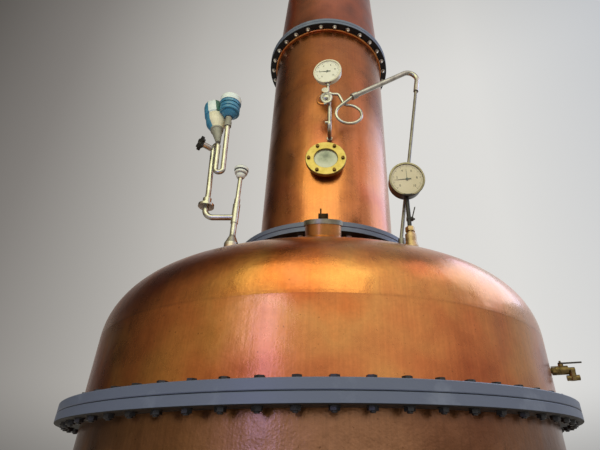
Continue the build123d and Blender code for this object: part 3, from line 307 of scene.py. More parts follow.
def seam_relief(tree, height):
    """Height of the sheet above the seam, where the crown starts to turn in at once, and the bead of the seam."""
    above = add(tree, "ShaderNodeMath", {0: height, 1: SEAM_HEIGHT}, operation="SUBTRACT").outputs[0]
    past = add(tree, "ShaderNodeMath", {0: above, 1: 0.0}, operation="MAXIMUM").outputs[0]
    share = add(tree, "ShaderNodeMath", {0: past, 1: -SEAM_REACH}, operation="DIVIDE").outputs[0]
    fall = add(tree, "ShaderNodeMath", {0: share}, operation="EXPONENT").outputs[0]
    line = add(tree, "ShaderNodeMapRange", {
        "Value": add(tree, "ShaderNodeMath", {0: above}, operation="ABSOLUTE").outputs[0],
        "From Min": 0.0, "From Max": SEAM_HALF, "To Min": 1.0, "To Max": 0.0,
    }).outputs[0]
    return add(tree, "ShaderNodeMath", {0: fall, 1: SEAM_TURN}, operation="MULTIPLY").outputs[0], line


def planished_copper(name, tones, fade=None, seam=False, speck=0.5, streak=0.05, hammer=0.00022, gloss=(0.24, 0.34)):
    """Sheet copper, hammered smooth, brushed down the wall and lacquered.

    The hammer leaves shallow dents that break a highlight into speckles, the brush leaves upright streaks,
    heat leaves clouds of red, gold and rose, and the lacquer gives a pale sheen at the edges.
    A fade is painted shade: two heights and the share of tone left at the upper one. Speck and streak are the
    strength of splashes and strokes, hammer is the depth of the pocks, and gloss is the span of roughness.
    """
    material, tree, place = start_material(name)
    height = add(tree, "ShaderNodeSeparateXYZ", {"Vector": place}).outputs["Z"]
    cloud = add(tree, "ShaderNodeTexNoise", {"Vector": place, "Scale": HEAT_CLOUD, "Detail": 4.0, "Roughness": 0.5})
    blotch = add(tree, "ShaderNodeTexNoise", {"Vector": place, "Scale": STAIN, "Detail": 5.0, "Roughness": 0.6})
    drawn = add(tree, "ShaderNodeMapping", {"Vector": place, "Scale": BRUSH_STROKE}).outputs[0]
    stroke = add(tree, "ShaderNodeTexNoise", {"Vector": drawn, "Scale": 1.0, "Detail": 5.0, "Roughness": 0.6})
    grain = add(tree, "ShaderNodeTexNoise", {
        "Vector": place, "Scale": TARNISH_GRAIN, "Detail": 3.0, "Roughness": 0.7,
    })
    tone = add(tree, "ShaderNodeValToRGB", {"Fac": cloud.outputs["Fac"]}, stops=tones)

    # Stains, strokes and tarnish lighten or darken the tone, then the fade up the wall, which is painted shade, and
    # the dark seam darken it
    levels = [
        add(tree, "ShaderNodeMapRange", {
            "Value": pattern.outputs["Fac"], **NOISE_SPAN, "To Min": low, "To Max": high,
        }).outputs[0]
        for pattern, low, high in ((blotch, 0.88, 1.09), (stroke, 1.0 - streak, 1.0 + streak), (grain, 0.92, 1.06))
    ]
    # The fade is painted shade, darker up the wall
    if fade:
        levels.append(add(tree, "ShaderNodeMapRange", {
            "Value": height, "From Min": fade[0], "From Max": fade[1], "To Min": 1.0, "To Max": fade[2],
        }, interpolation_type="SMOOTHSTEP").outputs[0])
    turn_in = None
    if seam:
        turn_in, line = seam_relief(tree, height)
        broken = add(tree, "ShaderNodeMapRange", {
            "Value": blotch.outputs["Fac"], "From Min": 0.35, "From Max": 0.6, "To Min": 0.03, "To Max": 0.24,
        }).outputs[0]
        dark = add(tree, "ShaderNodeMath", {0: line, 1: broken}, operation="MULTIPLY").outputs[0]
        levels.append(add(tree, "ShaderNodeMath", {0: 1.0, 1: dark}, operation="SUBTRACT").outputs[0])
    level = levels[0]
    for factor in levels[1:]:
        level = add(tree, "ShaderNodeMath", {0: level, 1: factor}, operation="MULTIPLY").outputs[0]
    shade = add(
        tree, "ShaderNodeMix", {0: 1.0, 6: tone.outputs[0], 7: level}, data_type="RGBA", blend_type="MULTIPLY",
    )
    splashes = add(tree, "ShaderNodeTexNoise", {"Vector": place, "Scale": SPLASH, "Detail": 1.0})
    splash = add(tree, "ShaderNodeMapRange", {
        "Value": splashes.outputs["Fac"], "From Min": 0.74, "From Max": 0.80, "To Min": 0.0, "To Max": speck,
    }).outputs[0]
    color = add(
        tree, "ShaderNodeMix", {0: splash, 6: shade.outputs[2], 7: linear(SPLASH_TONE)}, data_type="RGBA",
    )
    rough = add(tree, "ShaderNodeMapRange", {
        "Value": blotch.outputs["Fac"], **NOISE_SPAN, "To Min": gloss[0], "To Max": gloss[1],
    }).outputs[0]

    # Relief from the broadest to the finest: waves, the turn above the seam, dents, pocks and brush strokes
    wave = add(tree, "ShaderNodeTexNoise", {"Vector": place, "Scale": SHEET_WAVE, "Detail": 1.0})
    dent = add(
        tree, "ShaderNodeTexVoronoi", {"Vector": place, "Scale": HAMMER_DENT, "Smoothness": 0.8}, feature="SMOOTH_F1",
    )
    pock = add(tree, "ShaderNodeTexNoise", {"Vector": place, "Scale": HAMMER_POCK, "Detail": 1.0})
    reliefs = [(wave.outputs["Fac"], WAVE_DEPTH)]
    if turn_in:
        reliefs.append((turn_in, 1.0))
    reliefs += [
        (dent.outputs["Distance"], hammer * DENT_SHARE),
        (pock.outputs["Fac"], hammer),
        (stroke.outputs["Fac"], STROKE_DEPTH),
    ]
    under = {}
    for relief, depth in reliefs:
        bump = add(tree, "ShaderNodeBump", {"Height": relief, "Strength": 1.0, "Distance": depth, **under})
        under = {"Normal": bump.outputs[0]}
    end_material(tree, {
        "Base Color": color.outputs[2],
        "Metallic": 1.0,
        "Roughness": rough,
        "Normal": bump.outputs[0],
        "Coat Weight": 0.35,
        "Coat Roughness": 0.16,
        "Coat Normal": bump.outputs[0],
    })
    return material


def brushed_paint(name, base, worn, roughness):
    """Oil paint brushed on steel: a satin coat with faint strokes, and paler where hands rub it."""
    material, tree, place = start_material(name)
    cloud = add(tree, "ShaderNodeTexNoise", {"Vector": place, "Scale": PAINT_CLOUD, "Detail": 5.0, "Roughness": 0.6})
    tone = add(
        tree, "ShaderNodeValToRGB", {"Fac": cloud.outputs["Fac"]},
        stops=((0.32, base), (0.55, base), (0.78, worn)),
    )
    rough = add(tree, "ShaderNodeMapRange", {
        "Value": cloud.outputs["Fac"], "To Min": roughness - 0.08, "To Max": roughness + 0.12,
    })
    drawn = add(tree, "ShaderNodeMapping", {"Vector": place, "Scale": PAINT_STROKE}).outputs[0]
    stroke = add(tree, "ShaderNodeTexNoise", {"Vector": drawn, "Scale": 1.0, "Detail": 2.0})
    bump = add(tree, "ShaderNodeBump", {"Height": stroke.outputs["Fac"], "Strength": 0.6, "Distance": PAINT_DEPTH})
    end_material(tree, {
        "Base Color": tone.outputs[0],
        "Roughness": rough.outputs[0],
        "Normal": bump.outputs[0],
    })
    return material


def plain_metal(name, low, high, scale, rough_low, rough_high):
    """Bare or plated metal with cloudy tone and faint turning marks."""
    material, tree, place = start_material(name)
    cloud = add(tree, "ShaderNodeTexNoise", {"Vector": place, "Scale": scale, "Detail": 4.0, "Roughness": 0.6})
    tone = add(tree, "ShaderNodeValToRGB", {"Fac": cloud.outputs["Fac"]}, stops=((0.35, low), (0.65, high)))
    rough = add(tree, "ShaderNodeMapRange", {
        "Value": cloud.outputs["Fac"], **NOISE_SPAN, "To Min": rough_low, "To Max": rough_high,
    })
    grit = add(tree, "ShaderNodeTexNoise", {"Vector": place, "Scale": scale * TURNING_SHARE, "Detail": 2.0})
    bump = add(tree, "ShaderNodeBump", {"Height": grit.outputs["Fac"], "Strength": 0.5, "Distance": TURNING_DEPTH})
    end_material(tree, {
        "Base Color": tone.outputs[0],
        "Metallic": 1.0,
        "Roughness": rough.outputs[0],
        "Normal": bump.outputs[0],
    })
    return material


def coat(name, low, high, scale, roughness, bump_height):
    """Enamel, plastic, oxide or rubber: an even coat with a faint cloud of tone and a fine skin."""
    material, tree, place = start_material(name)
    cloud = add(tree, "ShaderNodeTexNoise", {"Vector": place, "Scale": scale, "Detail": 4.0})
    tone = add(tree, "ShaderNodeValToRGB", {"Fac": cloud.outputs["Fac"]}, stops=((0.3, low), (0.7, high)))
    rough = add(tree, "ShaderNodeMapRange", {
        "Value": cloud.outputs["Fac"], "To Min": roughness - 0.06, "To Max": roughness + 0.08,
    })
    skin = add(tree, "ShaderNodeTexNoise", {"Vector": place, "Scale": SKIN, "Detail": 2.0})
    bump = add(tree, "ShaderNodeBump", {"Height": skin.outputs["Fac"], "Strength": 0.5, "Distance": bump_height})
    end_material(tree, {
        "Base Color": tone.outputs[0],
        "Roughness": rough.outputs[0],
        "Normal": bump.outputs[0],
    })
    return material


def milky_pane(name, middle):
    """Thick sight glass with a film of dried wash, pale at the rim and foot, and a dark green spot of painted shade
    over its middle for the dark still inside.
    """
    material, tree, place = start_material(name)
    centred = add(tree, "ShaderNodeMapping", {
        "Vector": place, "Location": (-middle.x, 0.0, -middle.z - SHADE_RISE), "Scale": (1.0, 0.0, 1.0),
    })
    reach = add(tree, "ShaderNodeVectorMath", {0: centred.outputs[0]}, operation="LENGTH").outputs["Value"]
    film = add(tree, "ShaderNodeTexNoise", {"Vector": place, "Scale": GLASS_FILM, "Detail": 5.0})
    uneven = add(tree, "ShaderNodeMapRange", {
        "Value": film.outputs["Fac"], **NOISE_SPAN, "To Min": -SHADE_UNEVEN, "To Max": SHADE_UNEVEN,
    }).outputs[0]
    edge = add(tree, "ShaderNodeMath", {0: reach, 1: uneven}, operation="ADD").outputs[0]
    share = add(tree, "ShaderNodeMapRange", {
        "Value": edge, "From Min": 0.0, "From Max": SHADE_REACH, "To Min": 0.0, "To Max": 1.0,
    }).outputs[0]
    # Dark in the middle as painted shade, pale towards the rim as dried film
    tone = add(
        tree, "ShaderNodeValToRGB", {"Fac": share},
        stops=((0.0, "#344030"), (0.3, "#66705A"), (0.65, "#A4A890"), (1.0, "#BCBEAA")),
    )
    rough = add(tree, "ShaderNodeMapRange", {"Value": film.outputs["Fac"], "To Min": 0.10, "To Max": 0.26})
    end_material(tree, {
        "Base Color": tone.outputs[0],
        "Roughness": rough.outputs[0],
        "Coat Weight": 1.0,
        "Coat Roughness": 0.04,
    })
    return material


# In calls, the number after the two tones is the scale of a finish's clouds: 16 is 62 mm, 30 is 33 mm, 60 is 17 mm
WARM_TONES = ((0.30, "#A04C26"), (0.41, "#C67640"), (0.51, "#CE8C4C"), (0.61, "#C86E34"), (0.72, "#BC6C46"))
NECK_TONES = ((0.30, "#A25228"), (0.44, "#C0723A"), (0.56, "#C27846"), (0.70, "#B66442"))
CONE_TONES = ((0.32, "#7A3C26"), (0.50, "#A85C3E"), (0.70, "#984A34"))
POT_TONES = ((0.30, "#6E4228"), (0.46, "#946848"), (0.60, "#9A6E50"), (0.74, "#80492A"))
# Sheet copper, planished and lacquered: a speckled gold highlight that breaks into dents and upright strokes
DOME_COPPER = planished_copper("lacquered_copper_dome", WARM_TONES, seam=True, streak=0.08)
# The same sheet on the neck, toned darker than the dome and darker still towards the top, as painted shade
NECK_COPPER = planished_copper(
    "lacquered_copper_neck", NECK_TONES, fade=(2.45, 3.45, 0.64), streak=0.08, hammer=0.00018,
)
# Older sheet above the joint: brown red with a broad, soft highlight
CONE_COPPER = planished_copper("dull_copper_cone", CONE_TONES, gloss=(0.30, 0.42))
# Pot sheet, tarnished by heat and washing: grey brown, with deeper dents and clear strokes
POT_COPPER = planished_copper("tarnished_copper_pot", POT_TONES, streak=0.10, hammer=0.0004, gloss=(0.26, 0.38))
# Turned and brazed copper fittings: shallower dents, otherwise as the dome
FITTING_COPPER = planished_copper("copper_fitting", WARM_TONES, speck=0.3, hammer=0.0001, gloss=(0.26, 0.36))
# Oil paint brushed on steel flanges: a satin blue grey with worn, paler patches
BLUE_GREY = brushed_paint("blue_grey_paint", "#646E84", "#848EA2", 0.40)
# Painted shade on the undersides of the flanges: almost black and flat
UNDERSIDE_SHADE = brushed_paint("painted_shade_black", "#08080A", "#111114", 0.6)
# Oil paint brushed on the belt and the legs: dark grey with paler, rubbed patches
FRAME_GREY = brushed_paint("frame_grey_paint", "#44484E", "#62666C", 0.5)
# Zinc-plated bolts: a white gleam with cloudy dull spots
ZINC = plain_metal("zinc_plate", "#D0CFCB", "#F0EEE8", 30.0, 0.30, 0.45)
# Drawn stainless tube: neutral grey with a clear bright line along it
STAINLESS = plain_metal("stainless_tube", "#A5A19A", "#CBC7BF", 22.0, 0.24, 0.38)
# Thin steel tube, drawn and left unpolished: a softer grey, and darker as painted shade
SHADED_STEEL = plain_metal("shaded_dull_steel_tube", "#75716B", "#9A958D", 22.0, 0.40, 0.54)
# Turned brass of the sight ring: pale yellow with a broad gleam
RING_BRASS = plain_metal("turned_brass", "#9A8448", "#C0A868", 26.0, 0.30, 0.46)
# Cast brass of the gauge cock: sandy gold, rough from the mould
VALVE_BRASS = plain_metal("cast_brass", "#9A805C", "#CDB08A", 34.0, 0.34, 0.5)
# Cast brass, weathered in the open: brown olive with bright, rubbed patches
OLD_BRASS = plain_metal("weathered_brass", "#54482C", "#8E7A50", 40.0, 0.36, 0.54)
# Cast bronze of the sight bolts: dark brown
BRONZE = plain_metal("cast_bronze", "#4E3820", "#7E6034", 30.0, 0.36, 0.5)
# Forged steel block of the relief valve, browned by heat: dark, with a dry gleam
BROWNED_BLOCK = plain_metal("browned_steel", "#2E2214", "#54422A", 40.0, 0.42, 0.56)
# Rolled and plated steel lid of the relief valve: grey with a trace of brass
LID_BRASS = plain_metal("worn_plated_lid", "#8E8978", "#B4AE9C", 30.0, 0.34, 0.48)
# Black oxide on the steel of the main bolts, darkened further as painted shade for the nuts under the flange: near
# black with a soft edge gleam
DARK_BOLT = coat("black_oxide_and_shade_bolt", "#101114", "#26272B", 60.0, 0.40, 0.0002)
# Oxide on the steel levers: dark brown, dry; the dome gauge's stem is the same dark brown
DARK_STEEL = coat("dark_brown_steel", "#1E1B18", "#332E29", 40.0, 0.5, 0.0002)
# Moulded phenolic plastic of the handwheel: black and slightly dull
BLACK_PLASTIC = coat("moulded_black_plastic", "#101010", "#1C1C1C", 30.0, 0.45, 0.0002)
# Baked enamel of the transmitters: even, glossy blue, with darker rubber seals in the grooves
BLUE_ENAMEL = coat("blue_enamel", "#347CA2", "#4E94BA", 20.0, 0.24, 0.0001)
DEEP_BLUE = coat("deep_blue_seal", "#143F5A", "#1E5474", 20.0, 0.32, 0.0001)
# Powder coat on the transmitters' lid and cap: glossy green, and white with a trace of blue
GREEN_ENAMEL = coat("green_powder_coat", "#2C5F50", "#3C7362", 20.0, 0.28, 0.0001)
WHITE_CAP = coat("white_powder_coat", "#D8E6EA", "#EEF6F6", 20.0, 0.32, 0.0001)
# Baked enamel of the probe's head: pale and even, with grey bands in its grooves and round its top edge
PALE_ENAMEL = coat("pale_enamel", "#D9DEDA", "#EEF0EB", 20.0, 0.35, 0.0001)
GREY_BAND = coat("probe_grey_band", "#6A7074", "#868C8E", 20.0, 0.4, 0.0001)
# Sand-cast and painted aluminium neck of the transmitters: flat grey with a grain
CAST_GREY = coat("cast_grey", "#84847A", "#A09E92", 30.0, 0.45, 0.0002)
# Stove enamel on the gauges' steel cases: glossy cream; the dome gauge's case side is dark brown, with the rim rubbed
# to the metal
CREAM_CASE = coat("cream_stove_enamel", "#D6CFB6", "#EAE4CE", 16.0, 0.3, 0.0001)
BROWN_CASE = coat("dark_brown_case_side", "#1E1712", "#30261E", 24.0, 0.34, 0.0001)
WORN_RIM = plain_metal("rubbed_steel_rim", "#8C8468", "#B4AA8C", 24.0, 0.36, 0.5)
# Printed card of the dials: matt, one yellowed and one fresh, with dark ink and grey painted hands
DIAL_IVORY = coat("yellowed_dial_card", "#DDD4B4", "#E8DFC2", 12.0, 0.4, 0.00005)
DIAL_WHITE = coat("white_dial_card", "#E9E6DA", "#F2F0E6", 12.0, 0.4, 0.00005)
DIAL_INK = coat("dial_ink", "#3A3A30", "#4A4A40", 40.0, 0.6, 0.0)
NEEDLE_GREY = coat("painted_needle", "#5E665C", "#6E766A", 40.0, 0.5, 0.0)
# Moulded rubber of the gaskets: black and dry
RUBBER = coat("gasket_rubber", "#0C0C0D", "#161617", 30.0, 0.7, 0.0002)
# Pressed glass behind a dried film: dull green, with painted shade of the dark still inside over its middle and a wet
# gleam on top
SIGHT_GLASS = milky_pane("sight_glass", (pane_low + pane_high) / 2)
# Trowelled and sealed screed of the studio floor: pale, even and matt
PALE_FLOOR = coat("pale_floor", "#D4D1CA", "#DCD9D2", 0.8, 0.7, 0.0)


def finish_node(name, *finishes, choose=None):
    """Give a node its finishes, one for all of it or one for each face by its centre and direction."""
    mesh = nodes[name].data
    mesh.materials.clear()
    for finish in finishes:
        mesh.materials.append(finish)
    if choose:
        for face in mesh.polygons:
            face.material_index = int(choose(face.center, face.normal))


def dial_way(turn, tilt):
    """Direction in which a gauge faces, turned about the upright and tilted down."""
    return Vector((-sin(turn) * cos(tilt), -cos(turn) * cos(tilt), -sin(tilt)))


def gauge_finish(size, stem_top):
    """Front rim, side of the case, and stem of a gauge, from where a face is and which way it points."""
    front = dial_way(radians(size["turn"]), radians(size["tilt"]))

    def choose(centre, facing):
        if centre.z < stem_top:
            return 2
        return 0 if facing.dot(front) > RIM_SHARE else 1

    return choose


ONE_FINISH = {
    DOME_COPPER: ("dome_band", "dome_crown"),
    NECK_COPPER: ("neck",),
    CONE_COPPER: ("neck_cone", "swan_neck", "lyne_arm"),
    POT_COPPER: ("pot_bottom", "pot_shell_lower", "pot_shell", "manway_frame", "manway_door"),
    FITTING_COPPER: ("sight_boss", "relief_nozzle"),
    BLUE_GREY: ("main_flange_upper", "base_flange_upper", "top_flange_upper", "lyne_arm_flange"),
    FRAME_GREY: ("support_belt", "leg_front_right", "leg_rear_right", "leg_rear_left", "leg_front_left"),
    STAINLESS: ("outlet_nozzle", "steam_nozzles", "balance_loop", "needle_valve", "instrument_siphon"),
    RING_BRASS: ("sight_ring",),
    VALVE_BRASS: ("gauge_cock_body",),
    OLD_BRASS: ("side_valve",),
    DARK_STEEL: ("gauge_cock_lever", "side_valve_lever"),
    BLACK_PLASTIC: ("valve_handwheel",),
    RUBBER: ("flange_gaskets",),
    SIGHT_GLASS: ("sight_pane",),
}
for finish, names in ONE_FINISH.items():
    for name in names:
        finish_node(name, finish)
# The downward faces of the lower flanges get the painted shade
for name in ("main_flange_lower", "base_flange_lower", "top_flange_lower"):
    finish_node(name, BLUE_GREY, UNDERSIDE_SHADE, choose=lambda centre, facing: facing.z < UNDERSIDE)
finish_node("neck_gauge", CREAM_CASE, CREAM_CASE, STAINLESS, choose=gauge_finish(NECK_DIAL, NECK_STEM_TOP))
# The dome gauge's case side and stem are dark brown
finish_node("dome_gauge", WORN_RIM, BROWN_CASE, DARK_STEEL, choose=gauge_finish(DOME_DIAL, DOME_STEM_TOP))
finish_node(
    "gauge_siphon", STAINLESS, FITTING_COPPER,
    choose=lambda centre, facing: centre.x < COCK_END_SIDE and centre.z < COCK_END_TOP,
)
finish_node(
    "instrument_standpipe", STAINLESS, FITTING_COPPER, choose=lambda centre, facing: centre.z < STANDPIPE_BOSS,
)
# The thin run of the balance tube below its sleeve gets the painted shade
finish_node(
    "balance_tube", STAINLESS, SHADED_STEEL,
    choose=lambda centre, facing: centre.z < SLEEVE_END and centre.x > THIN_TUBE_SIDE,
)
finish_node("relief_valve", LID_BRASS, BROWNED_BLOCK, choose=lambda centre, facing: centre.z > BLOCK_FOOT)


def mesh_object(name, bm, material):
    """Object at the origin from a bmesh, with clean outward normals."""
    bmesh.ops.remove_doubles(bm, verts=bm.verts, dist=1e-6)
    bmesh.ops.recalc_face_normals(bm, faces=bm.faces)
    mesh = bpy.data.meshes.new(name)
    bm.to_mesh(mesh)
    bm.free()
    mesh.materials.append(material)
    piece = bpy.data.objects.new(name, mesh)
    scene.collection.objects.link(piece)
    return piece


def soften(piece, angle):
    """Smooth shading with edges sharper than the angle kept."""
    mesh = piece.data
    mesh.polygons.foreach_set("use_smooth", [True] * len(mesh.polygons))
    mesh.set_sharp_from_angle(angle=radians(angle))


def plain_mesh(name, source, matrix):
    """Plain mesh object from an evaluated one, moved by a matrix, and the source removed."""
    seen = source.evaluated_get(bpy.context.evaluated_depsgraph_get())
    mesh = bpy.data.meshes.new_from_object(seen)
    mesh.transform(matrix)
    mesh.name = name
    bpy.data.objects.remove(source)
    piece = bpy.data.objects.new(name, mesh)
    scene.collection.objects.link(piece)
    return piece


def start_growth(name, sockets):
    """Empty geometry tree with its named inputs and output, and the values that come in."""
    tree = bpy.data.node_groups.new(name, "GeometryNodeTree")
    for socket, way, kind in sockets:
        tree.interface.new_socket(socket, in_out=way, socket_type="NodeSocket" + kind)
    return tree, add(tree, "NodeGroupInput").outputs


def end_growth(tree, geometry, finish, result):
    """Make the geometry real, give it its finish and send it out."""
    real = add(tree, "GeometryNodeRealizeInstances", {"Geometry": geometry})
    painted = add(tree, "GeometryNodeSetMaterial", {"Geometry": real.outputs[0], "Material": finish})
    add(tree, "NodeGroupOutput", {result: painted.outputs[0]})


def grow(name, source, tree, values, matrix, edge):
    """Plain mesh that a tree grows from its source with these values, put in place and riding on the still."""
    modifier = source.modifiers.new(tree.name, "NODES")
    modifier.node_group = tree
    for socket in tree.interface.items_tree:
        if socket.name in values:
            modifier[socket.identifier] = values[socket.name]
    piece = plain_mesh(name, source, matrix)
    soften(piece, edge)
    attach(piece, STILL)


def ring_of(bm, radius, height, sides):
    """One level ring of points about the Z axis."""
    corners = []
    for step in range(sides):
        angle = 2 * pi * step / sides
        corners.append(bm.verts.new((radius * cos(angle), radius * sin(angle), height)))
    return corners


def stack(bm, steps, sides):
    """Closed turned or many-sided bar about the Z axis, from pairs of radius and height."""
    rings = [ring_of(bm, radius, height, sides) for radius, height in steps]
    for low, high in zip(rings, rings[1:]):
        for step in range(sides):
            after = (step + 1) % sides
            bm.faces.new((low[step], low[after], high[after], high[step]))
    bm.faces.new(list(reversed(rings[0])))
    bm.faces.new(rings[-1])


def bolt_head(bm, size, washer):
    """Hexagon head on its washer, whose seat is at height 0; gives the radius at the corners and the chamfer."""
    corner = size["flats"] / sqrt(3)
    edge = corner * CHAMFER
    top = washer + size["head"]
    stack(bm, ((size["washer"], 0.0), (size["washer"], washer)), WASHER_SIDES)
    stack(bm, ((corner, washer), (corner, top - edge / 2), (corner - edge, top)), HEXAGON)
    return corner, edge


def through_bolt(size, grip):
    """Hexagon bolt with washers and a nut under the joint, its head's seat at height 0."""
    bm = bmesh.new()
    corner, edge = bolt_head(bm, size, FLANGE_WASHER)
    nut_top = -grip - FLANGE_WASHER
    nut_low = nut_top - size["nut"]
    thread_low = nut_low - size["tail"]
    stack(bm, ((size["washer"], nut_top), (size["washer"], -grip)), WASHER_SIDES)
    stack(bm, ((corner - edge, nut_low), (corner, nut_low + edge / 2), (corner, nut_top)), HEXAGON)
    thread = size["flats"] * THREAD
    end = (thread * THREAD_END, thread_low)
    stack(bm, (end, (thread, thread_low + THREAD_END_LENGTH), (thread, nut_low)), THREAD_SIDES)
    return bm


def cap_bolt(size):
    """Hexagon head on a washer, its seat at height 0."""
    bm = bmesh.new()
    bolt_head(bm, size, SMALL_WASHER)
    return bm


def bolt_ring_tree():
    """Node tree that copies the incoming bolt round a circle, each bolt turned by its own amount."""
    tree, given = start_growth("bolt_ring", (
        ("Bolt", "INPUT", "Geometry"),
        ("Count", "INPUT", "Int"),
        ("Circle Radius", "INPUT", "Float"),
        ("Start Angle", "INPUT", "Float"),
        ("Finish", "INPUT", "Material"),
        ("Bolts", "OUTPUT", "Geometry"),
    ))
    circle = add(tree, "GeometryNodeMeshCircle", {"Vertices": given["Count"], "Radius": given["Circle Radius"]})
    chance = add(
        tree, "FunctionNodeRandomValue",
        {0: (0.0, 0.0, 0.0), 1: (0.0, 0.0, 2 * pi), "Seed": TURN_SEED},
        data_type="FLOAT_VECTOR",
    )
    copies = add(tree, "GeometryNodeInstanceOnPoints", {
        "Points": circle.outputs[0], "Instance": given["Bolt"], "Rotation": chance.outputs[0],
    })
    angles = add(tree, "ShaderNodeCombineXYZ", {"Z": given["Start Angle"]})
    turned = add(tree, "GeometryNodeTransform", {"Geometry": copies.outputs[0], "Rotation": angles.outputs[0]})
    end_growth(tree, turned.outputs[0], given["Finish"], "Bolts")
    return tree


BOLT_RING = bolt_ring_tree()


def bolt_ring(name, bm, count, radius, matrix, material, start=0.0):
    """Ring of bolts of one shape, with its middle at the origin of the matrix."""
    values = {"Count": count, "Circle Radius": radius, "Start Angle": start, "Finish": material}
    grow(name, mesh_object("bolt", bm, material), BOLT_RING, values, matrix, BOLT_EDGE)


def flange_bolts():
    """Bolts of the three flange joints, the sight glass and the manway."""
    bolt_ring(
        "main_flange_bolts", through_bolt(MAIN_BOLT, MAIN_FLANGE_TOP - flange_low.z), MAIN_BOLTS,
        (MAIN_RADIUS + DOME_RADIUS) / 2, Matrix.Translation((0, 0, MAIN_FLANGE_TOP)), DARK_BOLT,
        FRONT_ANGLE + pi / MAIN_BOLTS,
    )
    bolt_ring(
        "base_flange_bolts", through_bolt(BASE_BOLT, BASE_FLANGE_TOP - base_low.z), BASE_BOLTS,
        (BASE_RADIUS + NECK_RADIUS) / 2 + BASE_CIRCLE_SHIFT, Matrix.Translation((0, 0, BASE_FLANGE_TOP)), ZINC,
        FRONT_ANGLE,
    )
    bolt_ring(
        "top_flange_bolts", through_bolt(TOP_BOLT, TOP_FLANGE_TOP - top_low.z), TOP_BOLTS,
        (TOP_RADIUS + NECK_RADIUS) / 2, Matrix.Translation((0, 0, TOP_FLANGE_TOP)), ZINC,
        FRONT_ANGLE + pi / TOP_BOLTS,
    )
    front = Matrix.Translation((0, ring_low.y, (ring_low.z + ring_high.z) / 2))
    bolt_ring(
        "sight_ring_bolts", cap_bolt(SIGHT_BOLT), SIGHT_BOLTS, SIGHT_BOLT_CIRCLE,
        front @ Matrix.Rotation(radians(90), 4, "X"), BRONZE,
    )
    behind = Matrix.Translation((0, door_low.y + DOOR_THICKNESS, (door_low.z + door_high.z) / 2))
    bolt_ring(
        "manway_bolts", cap_bolt(DOOR_BOLT), DOOR_BOLTS, door_high.x - DOOR_BOLT_INSET,
        behind @ Matrix.Rotation(radians(-90), 4, "X"), ZINC,
    )


def turned_head(node, foot, lean, profile, finishes, choose):
    """Turned instrument head on its foot that takes the place of its node."""
    bm = bmesh.new()
    stack(bm, profile, HEAD_SIDES)
    piece = mesh_object(node + "_head", bm, finishes[0])
    for finish in finishes[1:]:
        piece.data.materials.append(finish)
    for face in piece.data.polygons:
        face.material_index = choose(face.center)
    turn = UPRIGHT.rotation_difference(lean.normalized()).to_matrix().to_4x4()
    piece.data.transform(Matrix.Translation(foot) @ turn)
    soften(piece, HEAD_EDGE)
    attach(piece, STILL)
    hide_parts(node)


def in_bands(height, bands):
    """Whether a height lies in one of the bands."""
    return any(low < height < high for low, high in bands)


def probe_finish(centre):
    """Steel stem, enamelled head, or a grey band in a groove or round the top edge."""
    if centre.z < PROBE_STEM_TOP:
        return 0
    return 2 if in_bands(centre.z, PROBE_GROOVES) else 1


def pressure_finish(centre):
    """Cast neck, blue body, deep blue seal or white cap."""
    if centre.z < PRESSURE_NECK_TOP:
        return 0
    if centre.z > PRESSURE_CAP_FOOT:
        return 3
    return 2 if in_bands(centre.z, PRESSURE_SEALS) else 1


def level_finish(centre):
    """Cast neck, blue side, cream body, and a lid that is white and green."""
    if centre.z < LEVEL_NECK_TOP:
        return 0
    reach = sqrt(centre.x ** 2 + centre.y ** 2)
    side = centre.x / reach if reach > LEVEL_AXIS else 0.0
    if side < LEVEL_BLUE_SIDE:
        return 1
    if centre.z < LEVEL_LID_FOOT:
        return 2
    return 4 if side > LEVEL_GREEN_SIDE else 3


def build_heads():
    """Heads of the probe and of the two transmitters, with their rings, grooves and rounded caps."""
    foot = Vector(((probe_low.x + probe_high.x) / 2, (probe_low.y + probe_high.y) / 2, probe_low.z))
    turned_head(
        "temperature_probe", foot, UPRIGHT, PROBE_PROFILE,
        (STAINLESS, PALE_ENAMEL, GREY_BAND), probe_finish,
    )
    turned_head(
        "pressure_transmitter", PRESSURE_FOOT, PRESSURE_LEAN, PRESSURE_PROFILE,
        (CAST_GREY, BLUE_ENAMEL, DEEP_BLUE, WHITE_CAP), pressure_finish,
    )
    turned_head(
        "level_transmitter", LEVEL_FOOT, LEVEL_LEAN, LEVEL_PROFILE,
        (CAST_GREY, BLUE_ENAMEL, CREAM_CASE, WHITE_CAP, GREEN_ENAMEL), level_finish,
    )


def cock_cap():
    """Round cap on the cock under the neck gauge, facing the front and a little down."""
    bm = bmesh.new()
    stack(bm, COCK_CAP_PROFILE, HEAD_SIDES)
    cap = mesh_object("neck_cock_cap", bm, STAINLESS)
    cap.data.transform(Matrix.Translation(COCK_CAP_PLACE) @ Matrix.Rotation(COCK_CAP_TURN, 4, "X"))
    soften(cap, HEAD_EDGE)
    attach(cap, STILL)


